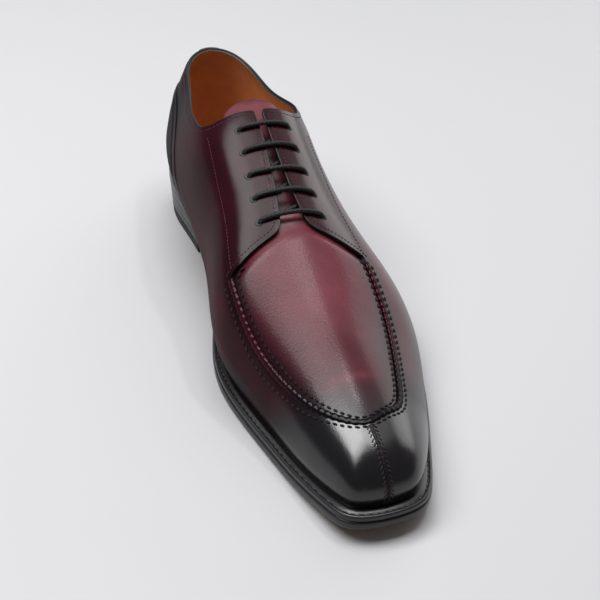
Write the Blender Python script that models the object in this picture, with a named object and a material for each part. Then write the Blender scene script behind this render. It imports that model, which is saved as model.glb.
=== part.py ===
# Split toe derby, left foot, standing empty on its sole.
# Lengths are in millimetres until a mesh is made, when they become metres.
# The toe points to -Y, the medial side is -X and the floor is z = 0.

import math
from collections import namedtuple

import bmesh
import bpy
import numpy as np

MM = 0.001
MEDIAL_SIGN = -1.0  # x of the medial side: -1 is a left shoe, +1 a right one
CLEAR = 0.3  # gap between pieces that meet

# Sole
SOLE_LENGTH = 304.0
BALL_WIDTH = 104.0  # the shares across are of this, the widest place is 1.02 of it  # the shares across are of this, the widest place is 1.02 of it
TOE_SPRING = 8.0
HEEL_RISE = 25.0  # underside of the outsole above the floor at the heel seat
OUTSOLE_THICK = 5.0
WELT_THICK = 3.0
WELT_LEDGE = 6.0  # how far the welt stands out of the upper at the toe
WELT_HOLD = 4.0  # how far the welt reaches in under the upper
WELT_STEP = 0.4  # the welt's edge stands back this much from the outsole's
INSOLE_THICK = 5.0
TOP_PIECE_THICK = 6.0
HEEL_BREAST = 0.755  # front face of the heel, share of SOLE_LENGTH
HEEL_TAPER_BACK = 3.5
HEEL_TAPER_SIDE = 2.0

# Upper
INSTEP_HEIGHT = 110.0  # crown of the upper at the top of the facings
WAIST_OVERHANG = 16.0  # most that the wall bellies out beyond the feather line
WALL = 2.4
RIDGE_TOE = 0.10  # crown line's toe end, share of SOLE_LENGTH
RIDGE_TOE_SPAN = 0.24
RIDGE_HEEL = 0.93
RIDGE_HEEL_SPAN = 0.80
SIDE_COLUMNS = 36
WALL_ROWS = 15
CUT_LOW = -0.2 * INSTEP_HEIGHT  # cutters reach from here to well above the crown
CUT_HIGH = 1.8 * INSTEP_HEIGHT
CUT_LOW = -0.2 * INSTEP_HEIGHT  # cutters reach from here to well above the crown
CUT_HIGH = 1.8 * INSTEP_HEIGHT

# Openings of the upper
COLLAR_FRONT = 48.0  # y of the front of the collar
COLLAR_DIP = 86.0  # lowest height of the topline
COLLAR_BACK = 92.5
THROAT = -17.0  # y of the lower end of the lacing
SLOT_TOP = 4.0  # width of the gap between the facings
SLOT_FOOT = 11.0

# Overlays
APRON_DEPTH = 0.8  # the apron lies this much below the wall pieces
RIB_HEIGHT = 0.8
RIB_WIDTH = 2.4
RIB_ROOT = 1.0  # the ribs and the counter are rooted this deep in the wall
COUNTER_STEP = 0.9

# Lacing
EYELETS = 5
EYELET_FIRST = -13.0
EYELET_LAST = 36.0
EYELET_REACH_FOOT = 16.6  # distance of the lowest eyelet from the middle of the lacing
EYELET_REACH_TOP = 13.4
LACING_DRIFT = 2.0  # the lacing's middle drifts this far to the lateral side at the collar
EYELET_DIAMETER = 4.4
LACE_DIAMETER = 2.4

# Tongue
TONGUE_THICK = 1.8
TONGUE_WIDTH = 50.0
TONGUE_TIP_WIDTH = 37.0
TONGUE_TIP = 61.0  # y of its rounded top
TONGUE_ROOT = -26.0

# Sole edge from toe to heel. along: share of SOLE_LENGTH. medial, lateral: distance of the
# edge from the axis, shares of BALL_WIDTH. ledge: width of the welt, share of WELT_LEDGE.
Outline = namedtuple("Outline", "along medial lateral ledge")
OUTLINES = [
    Outline(0.000, 0.000, 0.000, 1.00),
    Outline(0.005, 0.118, 0.118, 1.00),
    Outline(0.023, 0.197, 0.202, 0.97),
    Outline(0.064, 0.246, 0.276, 0.88),
    Outline(0.137, 0.300, 0.367, 0.80),
    Outline(0.215, 0.345, 0.457, 0.78),
    Outline(0.301, 0.393, 0.538, 0.76),
    Outline(0.380, 0.414, 0.597, 0.74),
    Outline(0.456, 0.382, 0.602, 0.68),
    Outline(0.538, 0.307, 0.527, 0.60),
    Outline(0.630, 0.243, 0.434, 0.55),
    Outline(0.729, 0.219, 0.379, 0.50),
    Outline(0.808, 0.229, 0.332, 0.45),
    Outline(0.883, 0.244, 0.322, 0.42),
    Outline(0.942, 0.212, 0.286, 0.42),
    Outline(0.980, 0.130, 0.205, 0.45),
    Outline(1.000, -0.038, 0.038, 0.45),
]

# Upper from toe to heel, medial then lateral. out: how far the widest line lies outside the
# feather line, share of WAIST_OVERHANG. belly: its height, share of the wall's. full: roundness
# of the shoulder, 2 is an ellipse. draft: how much the wall leans in by the top.
# crown: height, share of INSTEP_HEIGHT. ridge: crown line towards medial, share of BALL_WIDTH.
Section = namedtuple("Section", "along out_m out_l belly_m belly_l full_m full_l draft_m draft_l crown ridge")
SECTIONS = [
    Section(0.000, 0.03, 0.03, 0.20, 0.20, 2.1, 2.1, 0.00, 0.00, 0.330, 0.00),
    Section(0.064, 0.05, 0.08, 0.20, 0.20, 2.1, 2.05, 0.03, 0.05, 0.360, 0.00),
    Section(0.137, 0.08, 0.16, 0.22, 0.17, 2.1, 2.0, 0.08, 0.21, 0.400, 0.00),
    Section(0.215, 0.11, 0.14, 0.28, 0.15, 2.2, 2.0, 0.10, 0.33, 0.468, 0.00),
    Section(0.301, 0.19, 0.17, 0.35, 0.14, 2.6, 2.0, 0.10, 0.35, 0.545, 0.00),
    Section(0.380, 0.35, 0.16, 0.40, 0.14, 2.9, 2.1, 0.08, 0.31, 0.636, 0.00),
    Section(0.456, 0.36, 0.15, 0.40, 0.15, 3.0, 2.2, 0.08, 0.37, 0.736, 0.00),
    Section(0.538, 0.51, 0.11, 0.38, 0.18, 3.0, 2.43, 0.08, 0.39, 0.836, 0.00),
    Section(0.630, 0.85, 0.17, 0.35, 0.26, 3.0, 3.0, 0.08, 0.37, 0.945, 0.00),
    Section(0.729, 0.95, 0.29, 0.31, 0.29, 2.6, 2.7, 0.22, 0.235, 1.010, -0.02),
    Section(0.808, 0.70, 0.19, 0.26, 0.26, 2.2, 2.2, 0.30, 0.145, 1.010, -0.04),
    Section(0.883, 0.28, 0.10, 0.24, 0.24, 2.0, 2.0, 0.28, 0.06, 0.975, -0.046),
    Section(0.942, 0.10, 0.08, 0.24, 0.24, 2.0, 2.0, 0.15, 0.05, 0.970, -0.046),
    Section(1.000, 0.08, 0.08, 0.24, 0.24, 2.0, 2.0, 0.05, 0.05, 0.970, -0.046),
]

# Underside of the outsole. spring: share of TOE_SPRING, rise: share of HEEL_RISE.
Tread = namedtuple("Tread", "along spring rise")
TREADS = [
    Tread(0.000, 1.00, 0.00),
    Tread(0.080, 0.50, 0.00),
    Tread(0.160, 0.15, 0.00),
    Tread(0.250, 0.00, 0.00),
    Tread(0.400, 0.00, 0.00),
    Tread(0.500, 0.00, 0.10),
    Tread(0.600, 0.00, 0.42),
    Tread(0.700, 0.00, 0.80),
    Tread(0.780, 0.00, 0.95),
    Tread(0.880, 0.00, 0.99),
    Tread(1.000, 0.00, 1.00),
]

# Apron seam from the facing's medial corner round the toe. along: share of SOLE_LENGTH,
# across: share of BALL_WIDTH, positive towards medial.
Seam = namedtuple("Seam", "along across")
APRON_MEDIAL = [
    Seam(0.407, 0.346),
    Seam(0.340, 0.340),
    Seam(0.270, 0.300),
    Seam(0.200, 0.232),
    Seam(0.153, 0.165),
    Seam(0.120, 0.085),
]
APRON_LATERAL = [
    Seam(0.120, -0.095),
    Seam(0.142, -0.190),
    Seam(0.200, -0.258),
    Seam(0.270, -0.315),
    Seam(0.340, -0.340),
    Seam(0.414, -0.325),
]
APRON_TIP = Seam(0.107, 0.0)

# Lower edge of the facings from the medial corner over the throat to the lateral one.
FACING_EDGE = [
    Seam(0.407, 0.346),
    Seam(0.418, 0.240),
    Seam(0.432, 0.120),
    Seam(0.440, 0.045),
    Seam(0.440, -0.045),
    Seam(0.432, -0.120),
    Seam(0.420, -0.230),
    Seam(0.414, -0.325),
]

# Top edge of the counter in side view, from the feather line at the waist to the back.
# height: share of INSTEP_HEIGHT.
Profile = namedtuple("Profile", "along height")
COUNTER_EDGE = [
    Profile(0.590, 0.05),
    Profile(0.640, 0.27),
    Profile(0.720, 0.46),
    Profile(0.820, 0.60),
    Profile(0.920, 0.67),
    Profile(1.060, 0.70),
]


def curve_through(places, values):
    # Natural cubic spline through the values, held level beyond its ends.
    x = np.array(places, float)
    y = np.array(values, float)
    h = np.diff(x)
    n = len(x)
    matrix = np.eye(n)
    right = np.zeros(n)
    for i in range(1, n - 1):
        matrix[i, i - 1 : i + 2] = h[i - 1], 2 * (h[i - 1] + h[i]), h[i]
        right[i] = 6 * ((y[i + 1] - y[i]) / h[i] - (y[i] - y[i - 1]) / h[i - 1])
    bend = np.linalg.solve(matrix, right)

    def value(place):
        t = np.clip(np.asarray(place, float), x[0], x[-1])
        i = np.clip(np.searchsorted(x, t) - 1, 0, n - 2)
        p = (x[i + 1] - t) / h[i]
        q = (t - x[i]) / h[i]
        cubic = ((p**3 - p) * bend[i] + (q**3 - q) * bend[i + 1]) * h[i] ** 2 / 6
        return p * y[i] + q * y[i + 1] + cubic

    return value


def turn_of(along):
    # Column parameter, 0 at the toe tip and 1 at the back, that rounds both ends.
    return np.arccos(np.clip(1 - 2 * np.asarray(along, float), -1, 1)) / math.pi


def along_of(turn):
    return (1 - np.cos(math.pi * np.asarray(turn, float))) / 2


def splines(rows):
    turns = turn_of([row.along for row in rows])
    names = rows[0]._fields[1:]
    return {name: curve_through(turns, [getattr(row, name) for row in rows]) for name in names}


OUTLINE = splines(OUTLINES)
SECTION = splines(SECTIONS)
spring = curve_through([t.along for t in TREADS], [t.spring for t in TREADS])
rise = curve_through([t.along for t in TREADS], [t.rise for t in TREADS])


def place_y(along):
    return (along - 0.5) * SOLE_LENGTH


def share_of(y):
    return np.asarray(y, float) / SOLE_LENGTH + 0.5


def tread_height(y):
    along = share_of(y)
    return np.maximum(TOE_SPRING * spring(along) + HEEL_RISE * rise(along), 0.0)


def edge(turn, side, inset=0.0):
    # Plan point of the sole edge, moved in by inset. side: +1 medial, -1 lateral.
    half = OUTLINE["medial"] if side > 0 else OUTLINE["lateral"]

    def plain(t):
        return np.array([side * float(half(t)) * BALL_WIDTH, place_y(float(along_of(t)))])

    step = 1e-3
    run = plain(min(turn + step, 1.0)) - plain(max(turn - step, 0.0))
    if turn < step:
        run = np.array([side, 0.0])
    if turn > 1 - step:
        run = np.array([-side, 0.0])
    run /= np.linalg.norm(run)
    inward = np.array([-run[1], run[0]]) * side
    return plain(turn) + inset * inward


def feather(turn, side, inset=0.0):
    return edge(turn, side, float(OUTLINE["ledge"](turn)) * WELT_LEDGE + inset)


def ridge_place(turn):
    # Along share where a column reaches the crown line. The columns fan out at both ends.
    first = float(turn_of(RIDGE_TOE_SPAN))
    last = float(turn_of(RIDGE_HEEL_SPAN))
    if turn < first:
        near, far, w = RIDGE_TOE, RIDGE_TOE_SPAN, turn / first
        slope = math.pi / 2 * math.sin(math.pi * first) * first / (far - near)
        start = 0.25
        power = (slope - start) / (1 - start)
        return near + (far - near) * (start * w + (1 - start) * w**power)
    if turn > last:
        near, far, w = RIDGE_HEEL, RIDGE_HEEL_SPAN, (1 - turn) / (1 - last)
        slope = math.pi / 2 * math.sin(math.pi * last) * (1 - last) / (near - far)
        start = 0.25
        power = (slope - start) / (1 - start)
        return near + (far - near) * (start * w + (1 - start) * w**power)
    return float(along_of(turn))


def crown_height(along):
    return float(SECTION["crown"](turn_of(along))) * INSTEP_HEIGHT


def sided(name, turn, side):
    # Both sides share one value at the toe tip and the back, and part from there.
    medial = float(SECTION[name + "_m"](turn))
    lateral = float(SECTION[name + "_l"](turn))
    parting = 0.5 - 0.5 * math.cos(math.pi * min(1.0, turn / 0.08, (1 - turn) / 0.08))
    middle = (medial + lateral) / 2
    return middle + ((medial if side > 0 else lateral) - middle) * parting


def wall_base(y):
    return float(tread_height(y)) + OUTSOLE_THICK + WELT_THICK + 2 * CLEAR


def column(turn, side, rows):
    # Evenly spaced points of the upper's outer face from the feather line to the crown.
    foot = feather(turn, side)
    widest = feather(turn, side, -sided("out", turn, side) * WAIST_OVERHANG)
    place = ridge_place(turn)
    top = np.array([float(SECTION["ridge"](turn_of(place))) * BALL_WIDTH, place_y(place)])
    base = wall_base(foot[1])
    full = sided("full", turn, side)
    draft = sided("draft", turn, side)
    belly = base + sided("belly", turn, side) * (crown_height(place) - base)
    line = []
    for w in np.linspace(0, 1, 9)[:-1]:
        plan = foot + (widest - foot) * math.sin(math.pi / 2 * w)
        line.append((plan[0], plan[1], base + (belly - base) * w))
    for angle in np.linspace(0, math.pi / 2, 60):
        lift = math.sin(angle) ** (2 / full)
        reach = max(math.cos(angle), 0.0) ** (2 / full) * (1 - draft * lift)
        plan = top + (widest - top) * reach
        height = crown_height(float(share_of(plan[1])))
        line.append((plan[0], plan[1], belly + (height - belly) * lift))
    line = np.array(line)
    run = np.concatenate([[0.0], np.cumsum(np.linalg.norm(np.diff(line, axis=0), axis=1))])
    even = np.linspace(0, run[-1], rows + 1)
    return np.stack([np.interp(even, run, line[:, k]) for k in range(3)], axis=1)


def to_frame(point):
    return ((point[0] - MIDDLE) * MEDIAL_SIGN * MM, point[1] * MM, point[2] * MM)


def solid(name, points, faces, link=True):
    # A mesh object from millimetre points, its faces turned outwards.
    mesh = bpy.data.meshes.new(name)
    mesh.from_pydata([to_frame(p) for p in points], [], faces)
    shape = bmesh.new()
    shape.from_mesh(mesh)
    bmesh.ops.recalc_face_normals(shape, faces=shape.faces)
    shape.to_mesh(mesh)
    shape.free()
    obj = bpy.data.objects.new(name, mesh)
    if link:
        (PARTS if link is True else link).objects.link(obj)
    return obj


def loft(name, rings, link=True):
    # Closed solid through rings of equal length, with a flat face at each end.
    n = len(rings[0])
    points = [p for ring in rings for p in ring]
    faces = [tuple(range(n))[::-1]]
    faces.append(tuple(range((len(rings) - 1) * n, len(rings) * n)))
    for k in range(len(rings) - 1):
        for i in range(n):
            j = (i + 1) % n
            faces.append((k * n + i, k * n + j, (k + 1) * n + j, (k + 1) * n + i))
    return solid(name, points, faces, link)


def loop_of(columns):
    # Medial columns from toe to heel, then the lateral ones back to the toe.
    turns = [i / columns for i in range(columns + 1)]
    return [(t, 1.0) for t in turns[:-1]] + [(t, -1.0) for t in turns[:0:-1]]


def skin_grid(columns, rows):
    # Points and quads of the outer face, the crown points shared by both sides.
    loop = loop_of(columns)
    points = []
    index = {}
    for k, (turn, side) in enumerate(loop):
        for r, point in enumerate(column(turn, side, rows)):
            key = (k, r)
            if r == rows and side < 0 and 0 < turn < 1:
                key = (columns * 2 - k, r)
                index[(k, r)] = index[key]
                continue
            index[key] = len(points)
            points.append(point)
    quads = []
    n = len(loop)
    for k in range(n):
        j = (k + 1) % n
        for r in range(rows):
            quad = [index[(k, r)], index[(j, r)], index[(j, r + 1)], index[(k, r + 1)]]
            quads.append(tuple(dict.fromkeys(quad)))
    rim = [index[(k, 0)] for k in range(n)]
    return np.array(points), quads, rim


def grid_normals(points, quads, rim):
    normals = np.zeros_like(points)
    for quad in quads:
        a, b, c = points[quad[0]], points[quad[1]], points[quad[2]]
        d = points[quad[-1]]
        normal = np.cross(c - a, d - b)
        for i in quad:
            normals[i] += normal
    normals[rim, 2] = 0.0
    lengths = np.linalg.norm(normals, axis=1)
    normals /= lengths[:, None]
    centre = points.mean(axis=0)
    if np.sum((points - centre) * normals) < 0:
        normals = -normals
    return normals


SKIN, SKIN_QUADS, SKIN_RIM = skin_grid(SIDE_COLUMNS, WALL_ROWS)
SKIN_NORMALS = grid_normals(SKIN, SKIN_QUADS, SKIN_RIM)

# x of the middle between the widest medial and lateral points, where the frame's origin lies.
EDGE_REACH = [edge(turn, side)[0] for turn, side in loop_of(SIDE_COLUMNS)]
MIDDLE = (max(SKIN[:, 0].max(), max(EDGE_REACH)) + min(SKIN[:, 0].min(), min(EDGE_REACH))) / 2


def form(name, offset, drop, link):
    # The upper as a full block, its skin moved out by offset and its foot down by drop.
    points = SKIN + SKIN_NORMALS * offset
    floor = points[SKIN_RIM] - np.array([0, 0, drop])
    n = len(points)
    m = len(SKIN_RIM)
    faces = list(SKIN_QUADS)
    for i in range(m):
        j = (i + 1) % m
        faces.append((SKIN_RIM[i], n + i, n + j, SKIN_RIM[j]))
    # The foot is closed by strips between the two sides.
    half = m // 2
    for i in range(1, half):
        a, b = n + i, n + (m - i) % m
        c, d = n + i + 1, n + (m - i - 1) % m
        strip = (a, b, d, c) if i + 1 < half else (a, b, n + half)
        faces.append(strip)
    faces.append((n, n + m - 1, n + 1))
    return solid(name, np.concatenate([points, floor]), faces, link)


def curve_points(seams, steps=6):
    # Smooth plan line through seam rows, in millimetres.
    places = range(len(seams))
    along = curve_through(places, [s.along for s in seams])
    across = curve_through(places, [s.across for s in seams])
    line = np.linspace(0, len(seams) - 1, (len(seams) - 1) * steps + 1)
    return [(float(across(t)) * BALL_WIDTH, place_y(float(along(t)))) for t in line]


def prism(name, outline, low, high, link, axis=2):
    # Plan outline raised along z, or a side outline (y, z) drawn across x.
    def ring(level):
        if axis == 2:
            return [(p[0], p[1], level) for p in outline]
        return [(level, p[0], p[1]) for p in outline]

    return loft(name, [ring(low), ring(high)], link)


def ribbon(line, width):
    # Plan outline of a strip of this width along a line.
    line = np.array(line)
    run = np.gradient(line, axis=0)
    run /= np.linalg.norm(run, axis=1)[:, None]
    across = np.stack([-run[:, 1], run[:, 0]], axis=1) * width / 2
    return list(line + across) + list((line - across)[::-1])


def combine(target, other, operation):
    modifier = target.modifiers.new("combine", "BOOLEAN")
    modifier.operation = operation
    modifier.solver = "EXACT"
    modifier.object = other
    graph = bpy.context.evaluated_depsgraph_get()
    mesh = bpy.data.meshes.new_from_object(target.evaluated_get(graph))
    target.modifiers.clear()
    old = target.data
    target.data = mesh
    bpy.data.meshes.remove(old)


def tidy(obj, distance=0.004):
    # Merges points closer than distance, in millimetres, and drops flat leftovers.
    shape = bmesh.new()
    shape.from_mesh(obj.data)
    bmesh.ops.remove_doubles(shape, verts=shape.verts, dist=distance * MM)
    bmesh.ops.dissolve_degenerate(shape, edges=shape.edges, dist=distance * MM)
    shape.to_mesh(obj.data)
    shape.free()


def paint(obj, colour, roughness, coat=0.0):
    material = bpy.data.materials.new(obj.name)
    material.use_nodes = True
    shader = material.node_tree.nodes["Principled BSDF"]
    shader.inputs["Base Color"].default_value = (*colour, 1.0)
    shader.inputs["Roughness"].default_value = roughness
    shader.inputs["Coat Weight"].default_value = coat
    material.diffuse_color = (*colour, 1.0)
    obj.data.materials.clear()
    obj.data.materials.append(material)


def collection(name):
    made = bpy.data.collections.new(name)
    bpy.context.scene.collection.children.link(made)
    return made


def ring_at(inset, lift, columns=SIDE_COLUMNS, from_feather=False):
    # Ring round the sole, inset from its edge and lift above the tread.
    ring = []
    for turn, side in loop_of(columns):
        x, y = feather(turn, side, inset) if from_feather else edge(turn, side, inset)
        ring.append((x, y, float(tread_height(y)) + lift))
    return ring


def banded(name, rings, link=True, closed=False):
    # Solid whose side is the rings and whose faces run in strips between the two sides.
    n = len(rings[0])
    half = n // 2
    points = [p for ring in rings for p in ring]
    faces = []
    last = len(rings) - 1
    for k in range(len(rings) - (0 if closed else 1)):
        up = (k + 1) % len(rings)
        for i in range(n):
            j = (i + 1) % n
            faces.append((k * n + i, k * n + j, up * n + j, up * n + i))
    if not closed:
        for start in (0, last * n):
            faces.append((start, start + n - 1, start + 1))
            for i in range(1, half):
                a, b = start + i, start + n - i
                c, d = start + i + 1, start + n - i - 1
                faces.append((a, b, d, c) if i + 1 < half else (a, b, start + half))
    return solid(name, points, faces, link)


def build_sole():
    outsole = banded("outsole", [ring_at(0, 0), ring_at(0, OUTSOLE_THICK)])
    low = OUTSOLE_THICK + CLEAR
    high = low + WELT_THICK
    inner = WELT_HOLD
    welt = banded(
        "welt",
        [
            ring_at(WELT_STEP, low),
            ring_at(WELT_STEP, high),
            ring_at(inner, high, from_feather=True),
            ring_at(inner, low, from_feather=True),
        ],
        closed=True,
    )
    shelf = high + CLEAR
    insole = banded(
        "insole",
        [
            ring_at(inner + CLEAR, low, from_feather=True),
            ring_at(inner + CLEAR, shelf, from_feather=True),
            ring_at(WALL + 2 * CLEAR, shelf, from_feather=True),
            ring_at(WALL + 2 * CLEAR, low + INSOLE_THICK, from_feather=True),
        ],
    )
    return outsole, welt, insole


def heel_ring(level, taper):
    # Outline of the heel. taper: 0 at the seat, 1 at the floor. level: height, or None
    # to follow the underside of the outsole.
    ring = []
    first = float(turn_of(HEEL_BREAST))
    turns = np.linspace(first, 1.0, 15)
    walk = [(t, 1.0) for t in turns] + [(t, -1.0) for t in turns[-2::-1]]
    back = place_y(1.0)
    front = place_y(HEEL_BREAST)
    for turn, side in walk:
        x, y = edge(turn, side, HEEL_TAPER_SIDE * taper * 0.5)
        x *= 1 - HEEL_TAPER_SIDE * taper * 0.5 / 30
        y = front + (y - front) * (1 - HEEL_TAPER_BACK * taper / (back - front))
        ring.append([x, y])
    breast = []
    a, b = np.array(ring[-1]), np.array(ring[0])
    for w in (0.2, 0.4, 0.6, 0.8):
        p = a + (b - a) * w
        breast.append([p[0], p[1] + 12 * w * (1 - w)])
    out = []
    for x, y in ring + breast:
        z = float(tread_height(y)) - CLEAR if level is None else level
        out.append((x, y, z))
    return out


def build_heel():
    seat = heel_ring(None, 0.0)
    foot = heel_ring(TOP_PIECE_THICK + CLEAR, 1 - TOP_PIECE_THICK / HEEL_RISE)
    loft("heel_stack", [foot, seat])
    loft("top_piece", [heel_ring(0.0, 1.0), heel_ring(TOP_PIECE_THICK, 1 - TOP_PIECE_THICK / HEEL_RISE)])


def collar_outline():
    # Side outline of all that is cut away above the topline.
    knots = [
        (COLLAR_FRONT, COLLAR_DIP + 14.5),
        (COLLAR_FRONT + 5, COLLAR_DIP + 10.5),
        (COLLAR_FRONT + 17, COLLAR_DIP + 6.5),
        (COLLAR_FRONT + 38, COLLAR_DIP + 1.5),
        (COLLAR_FRONT + 60, COLLAR_DIP),
        (COLLAR_FRONT + 80, COLLAR_DIP + 2.5),
        (COLLAR_FRONT + 96, COLLAR_BACK),
        (COLLAR_FRONT + 112, COLLAR_BACK + 1.0),
    ]
    places = [k[0] for k in knots]
    line = curve_through(places, [k[1] for k in knots])
    ys = np.linspace(places[0], places[-1], 25)
    outline = [(COLLAR_FRONT - 2.0, INSTEP_HEIGHT + 30), (COLLAR_FRONT - 1.5, COLLAR_DIP + 18)]
    outline += [(float(y), float(line(y))) for y in ys]
    outline.append((places[-1], INSTEP_HEIGHT + 30))
    return outline


def lacing_axis(y):
    # x of the middle of the lacing.
    w = min(max((y - THROAT) / (COLLAR_FRONT - THROAT), 0.0), 1.0)
    return -LACING_DRIFT * w


def slot_outline():
    foot, top = SLOT_FOOT / 2, SLOT_TOP / 2
    high = COLLAR_FRONT + 12
    side = [(top, high), (top + 0.2, COLLAR_FRONT - 20), (foot - 1.5, 2.0), (foot, THROAT + 11)]
    side += [(foot - 0.8, THROAT + 4.5), (foot - 3.2, THROAT + 1.0)]
    outline = side + [(0.0, THROAT)] + [(-x, y) for x, y in side[::-1]]
    return [(x + lacing_axis(y), y) for x, y in outline]


def eyelet_places():
    # Medial and lateral eyelet of each pair, from the throat to the collar.
    pairs = []
    for w in np.linspace(0, 1, EYELETS):
        y = EYELET_FIRST + (EYELET_LAST - EYELET_FIRST) * w
        reach = EYELET_REACH_FOOT + (EYELET_REACH_TOP - EYELET_REACH_FOOT) * w
        pairs.append([(lacing_axis(y) + side * reach, float(y)) for side in (1, -1)])
    return pairs


HEIGHTS = {}


def skin_height(x, y):
    # Height of the upper's skin over a plan point of the instep.
    if not HEIGHTS:
        turns = np.linspace(turn_of(0.28), turn_of(0.78), 53)
        for side in (1.0, -1.0):
            HEIGHTS[side] = [column(float(t), side, 40)[::-1] for t in turns]
    strips = HEIGHTS[1.0 if x >= 0 else -1.0]
    ys = [np.interp(abs(x), np.abs(strip[:, 0]), strip[:, 1]) for strip in strips]
    zs = [np.interp(abs(x), np.abs(strip[:, 0]), strip[:, 2]) for strip in strips]
    return float(np.interp(y, ys, zs))


def surface_height(x, y, offset=0.0):
    # The same for a surface that stands off the skin by offset.
    height = skin_height(x, y)
    if not offset:
        return height
    step = 2.0
    along = (skin_height(x, y + step) - skin_height(x, y - step)) / (2 * step)
    across = (skin_height(x + step, y) - skin_height(x - step, y)) / (2 * step)
    return height + offset * math.sqrt(1 + along**2 + across**2)


def apron_line():
    medial = list(APRON_MEDIAL)
    return curve_points(medial + [APRON_TIP] + list(APRON_LATERAL), 4)


def build_upper():
    upper = form("upper", 0.0, 0.0, True)
    inside = form("cut_inside", -WALL, 4.0, CUTS)
    combine(upper, inside, "DIFFERENCE")
    apron = apron_line()
    facing = curve_points(FACING_EDGE, 3)
    outline = apron + facing[::-1][1:-1]
    recess = prism("cut_apron", outline, CUT_LOW, CUT_HIGH, CUTS)
    bed = form("cut_bed", -APRON_DEPTH, 30.0, CUTS)
    combine(recess, bed, "DIFFERENCE")
    combine(upper, recess, "DIFFERENCE")
    rib = form("cut_rib", RIB_HEIGHT, 0.0, CUTS)
    under = form("cut_rib_under", -RIB_ROOT, 5.0, CUTS)
    combine(rib, under, "DIFFERENCE")
    seam = prism("cut_seam", ribbon(apron, RIB_WIDTH), CUT_LOW, CUT_HIGH, CUTS)
    toe_line = [(0.0, place_y(APRON_TIP.along)), (0.0, place_y(0.05)), (0.0, place_y(0.0) + 2.0)]
    split = prism("cut_split", ribbon(toe_line, RIB_WIDTH), CUT_LOW - 5, CUT_HIGH - 5, CUTS)
    combine(seam, split, "UNION")
    combine(seam, rib, "INTERSECT")
    combine(upper, seam, "UNION")
    counter = prism("cut_counter", counter_outline(), -BALL_WIDTH, BALL_WIDTH, CUTS, axis=0)
    outer = form("cut_counter_skin", COUNTER_STEP, 0.0, CUTS)
    combine(outer, under, "DIFFERENCE")
    combine(counter, outer, "INTERSECT")
    combine(upper, counter, "UNION")
    collar = prism("cut_collar", collar_outline(), -BALL_WIDTH, BALL_WIDTH, CUTS, axis=0)
    combine(upper, collar, "DIFFERENCE")
    slot = prism("cut_slot", slot_outline(), 0.55 * INSTEP_HEIGHT, CUT_HIGH, CUTS)
    combine(upper, slot, "DIFFERENCE")
    for pair in eyelet_places():
        for x, y in pair:
            middle = surface_height(x, y)
            ring = []
            for k in range(12):
                a = 2 * math.pi * k / 12
                ring.append((x + EYELET_DIAMETER / 2 * math.cos(a), y + EYELET_DIAMETER / 2 * math.sin(a)))
            hole = prism("cut_eyelet", ring, middle - 12, middle + 12, CUTS)
            combine(upper, hole, "DIFFERENCE")
    tidy(upper)
    return upper


def counter_outline():
    places = [p.along for p in COUNTER_EDGE]
    line = curve_through(places, [p.height for p in COUNTER_EDGE])
    outline = []
    for along in np.linspace(places[0], places[-1], 20):
        outline.append((place_y(float(along)), float(line(along)) * INSTEP_HEIGHT))
    outline.append((place_y(places[-1]), -10.0))
    outline.append((place_y(places[0]), -10.0))
    return outline


def tongue_half(y):
    # Half width of the tongue along its length, rounded at the tip.
    knots = [
        (TONGUE_ROOT, 0.70 * TONGUE_WIDTH / 2),
        (TONGUE_ROOT + 12, 0.92 * TONGUE_WIDTH / 2),
        (COLLAR_FRONT - 34, TONGUE_WIDTH / 2),
        (COLLAR_FRONT - 4, TONGUE_TIP_WIDTH / 2),
    ]
    plain = float(curve_through([k[0] for k in knots], [k[1] for k in knots])(y))
    start = knots[-1][0]
    if y <= start:
        return plain
    w = min((y - start) / (TONGUE_TIP - start), 0.985)
    return plain * (1 - w**3) ** 0.5


def build_tongue():
    # A bent sheet that follows the facings from below, clear of the lace's crossings.
    top = -(WALL + LACE_DIAMETER + 3 * CLEAR)
    rows = list(np.linspace(TONGUE_ROOT, COLLAR_FRONT - 4, 12))
    rows += [COLLAR_FRONT - 4 + (TONGUE_TIP - COLLAR_FRONT + 4) * w for w in (0.3, 0.55, 0.75, 0.88, 0.95, 1.0)]
    across = np.linspace(-1, 1, 13)
    rings = []
    for y in rows:
        half = tongue_half(y)
        middle = lacing_axis(y)
        upper_side = [(middle + half * w, y, surface_height(middle + half * w, y, top)) for w in across]
        lower_side = [(x, y, z - TONGUE_THICK) for x, y, z in upper_side[::-1]]
        rings.append(upper_side + lower_side)
    return loft("tongue", rings)


def build_laces():
    return tube("laces", lace_path(), LACE_DIAMETER)


def lace_path():
    # Straight bars over the facings, crossings below them, one lace from the lowest
    # lateral eyelet to the highest medial one.
    over = LACE_DIAMETER / 2 + CLEAR
    below = -(WALL + LACE_DIAMETER / 2 + CLEAR)
    path = []
    pairs = eyelet_places()
    for k, (medial, lateral) in enumerate(pairs):
        y = medial[1]
        x0 = lateral[0]
        span = medial[0] - lateral[0]
        for w in (0.0, 0.5, 1.0):
            height = surface_height(x0, y)
            path.append((x0, y, height + below - 0.5 + w * (over - 0.6 - below)))
        for w in np.linspace(0.06, 0.94, 9):
            x = x0 + span * w
            path.append((x, y, surface_height(x, y, over) + 0.35))
        for w in (1.0, 0.5, 0.0):
            height = surface_height(medial[0], y)
            path.append((medial[0], y, height + below - 0.5 + w * (over - 0.6 - below)))
        if k + 1 < len(pairs):
            end = pairs[k + 1][1]
            for w in np.linspace(0.1, 0.9, 7):
                x = medial[0] + (end[0] - medial[0]) * w
                yy = y + (end[1] - y) * w
                path.append((x, yy, surface_height(x, yy, below) - 0.2))
    return path


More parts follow.
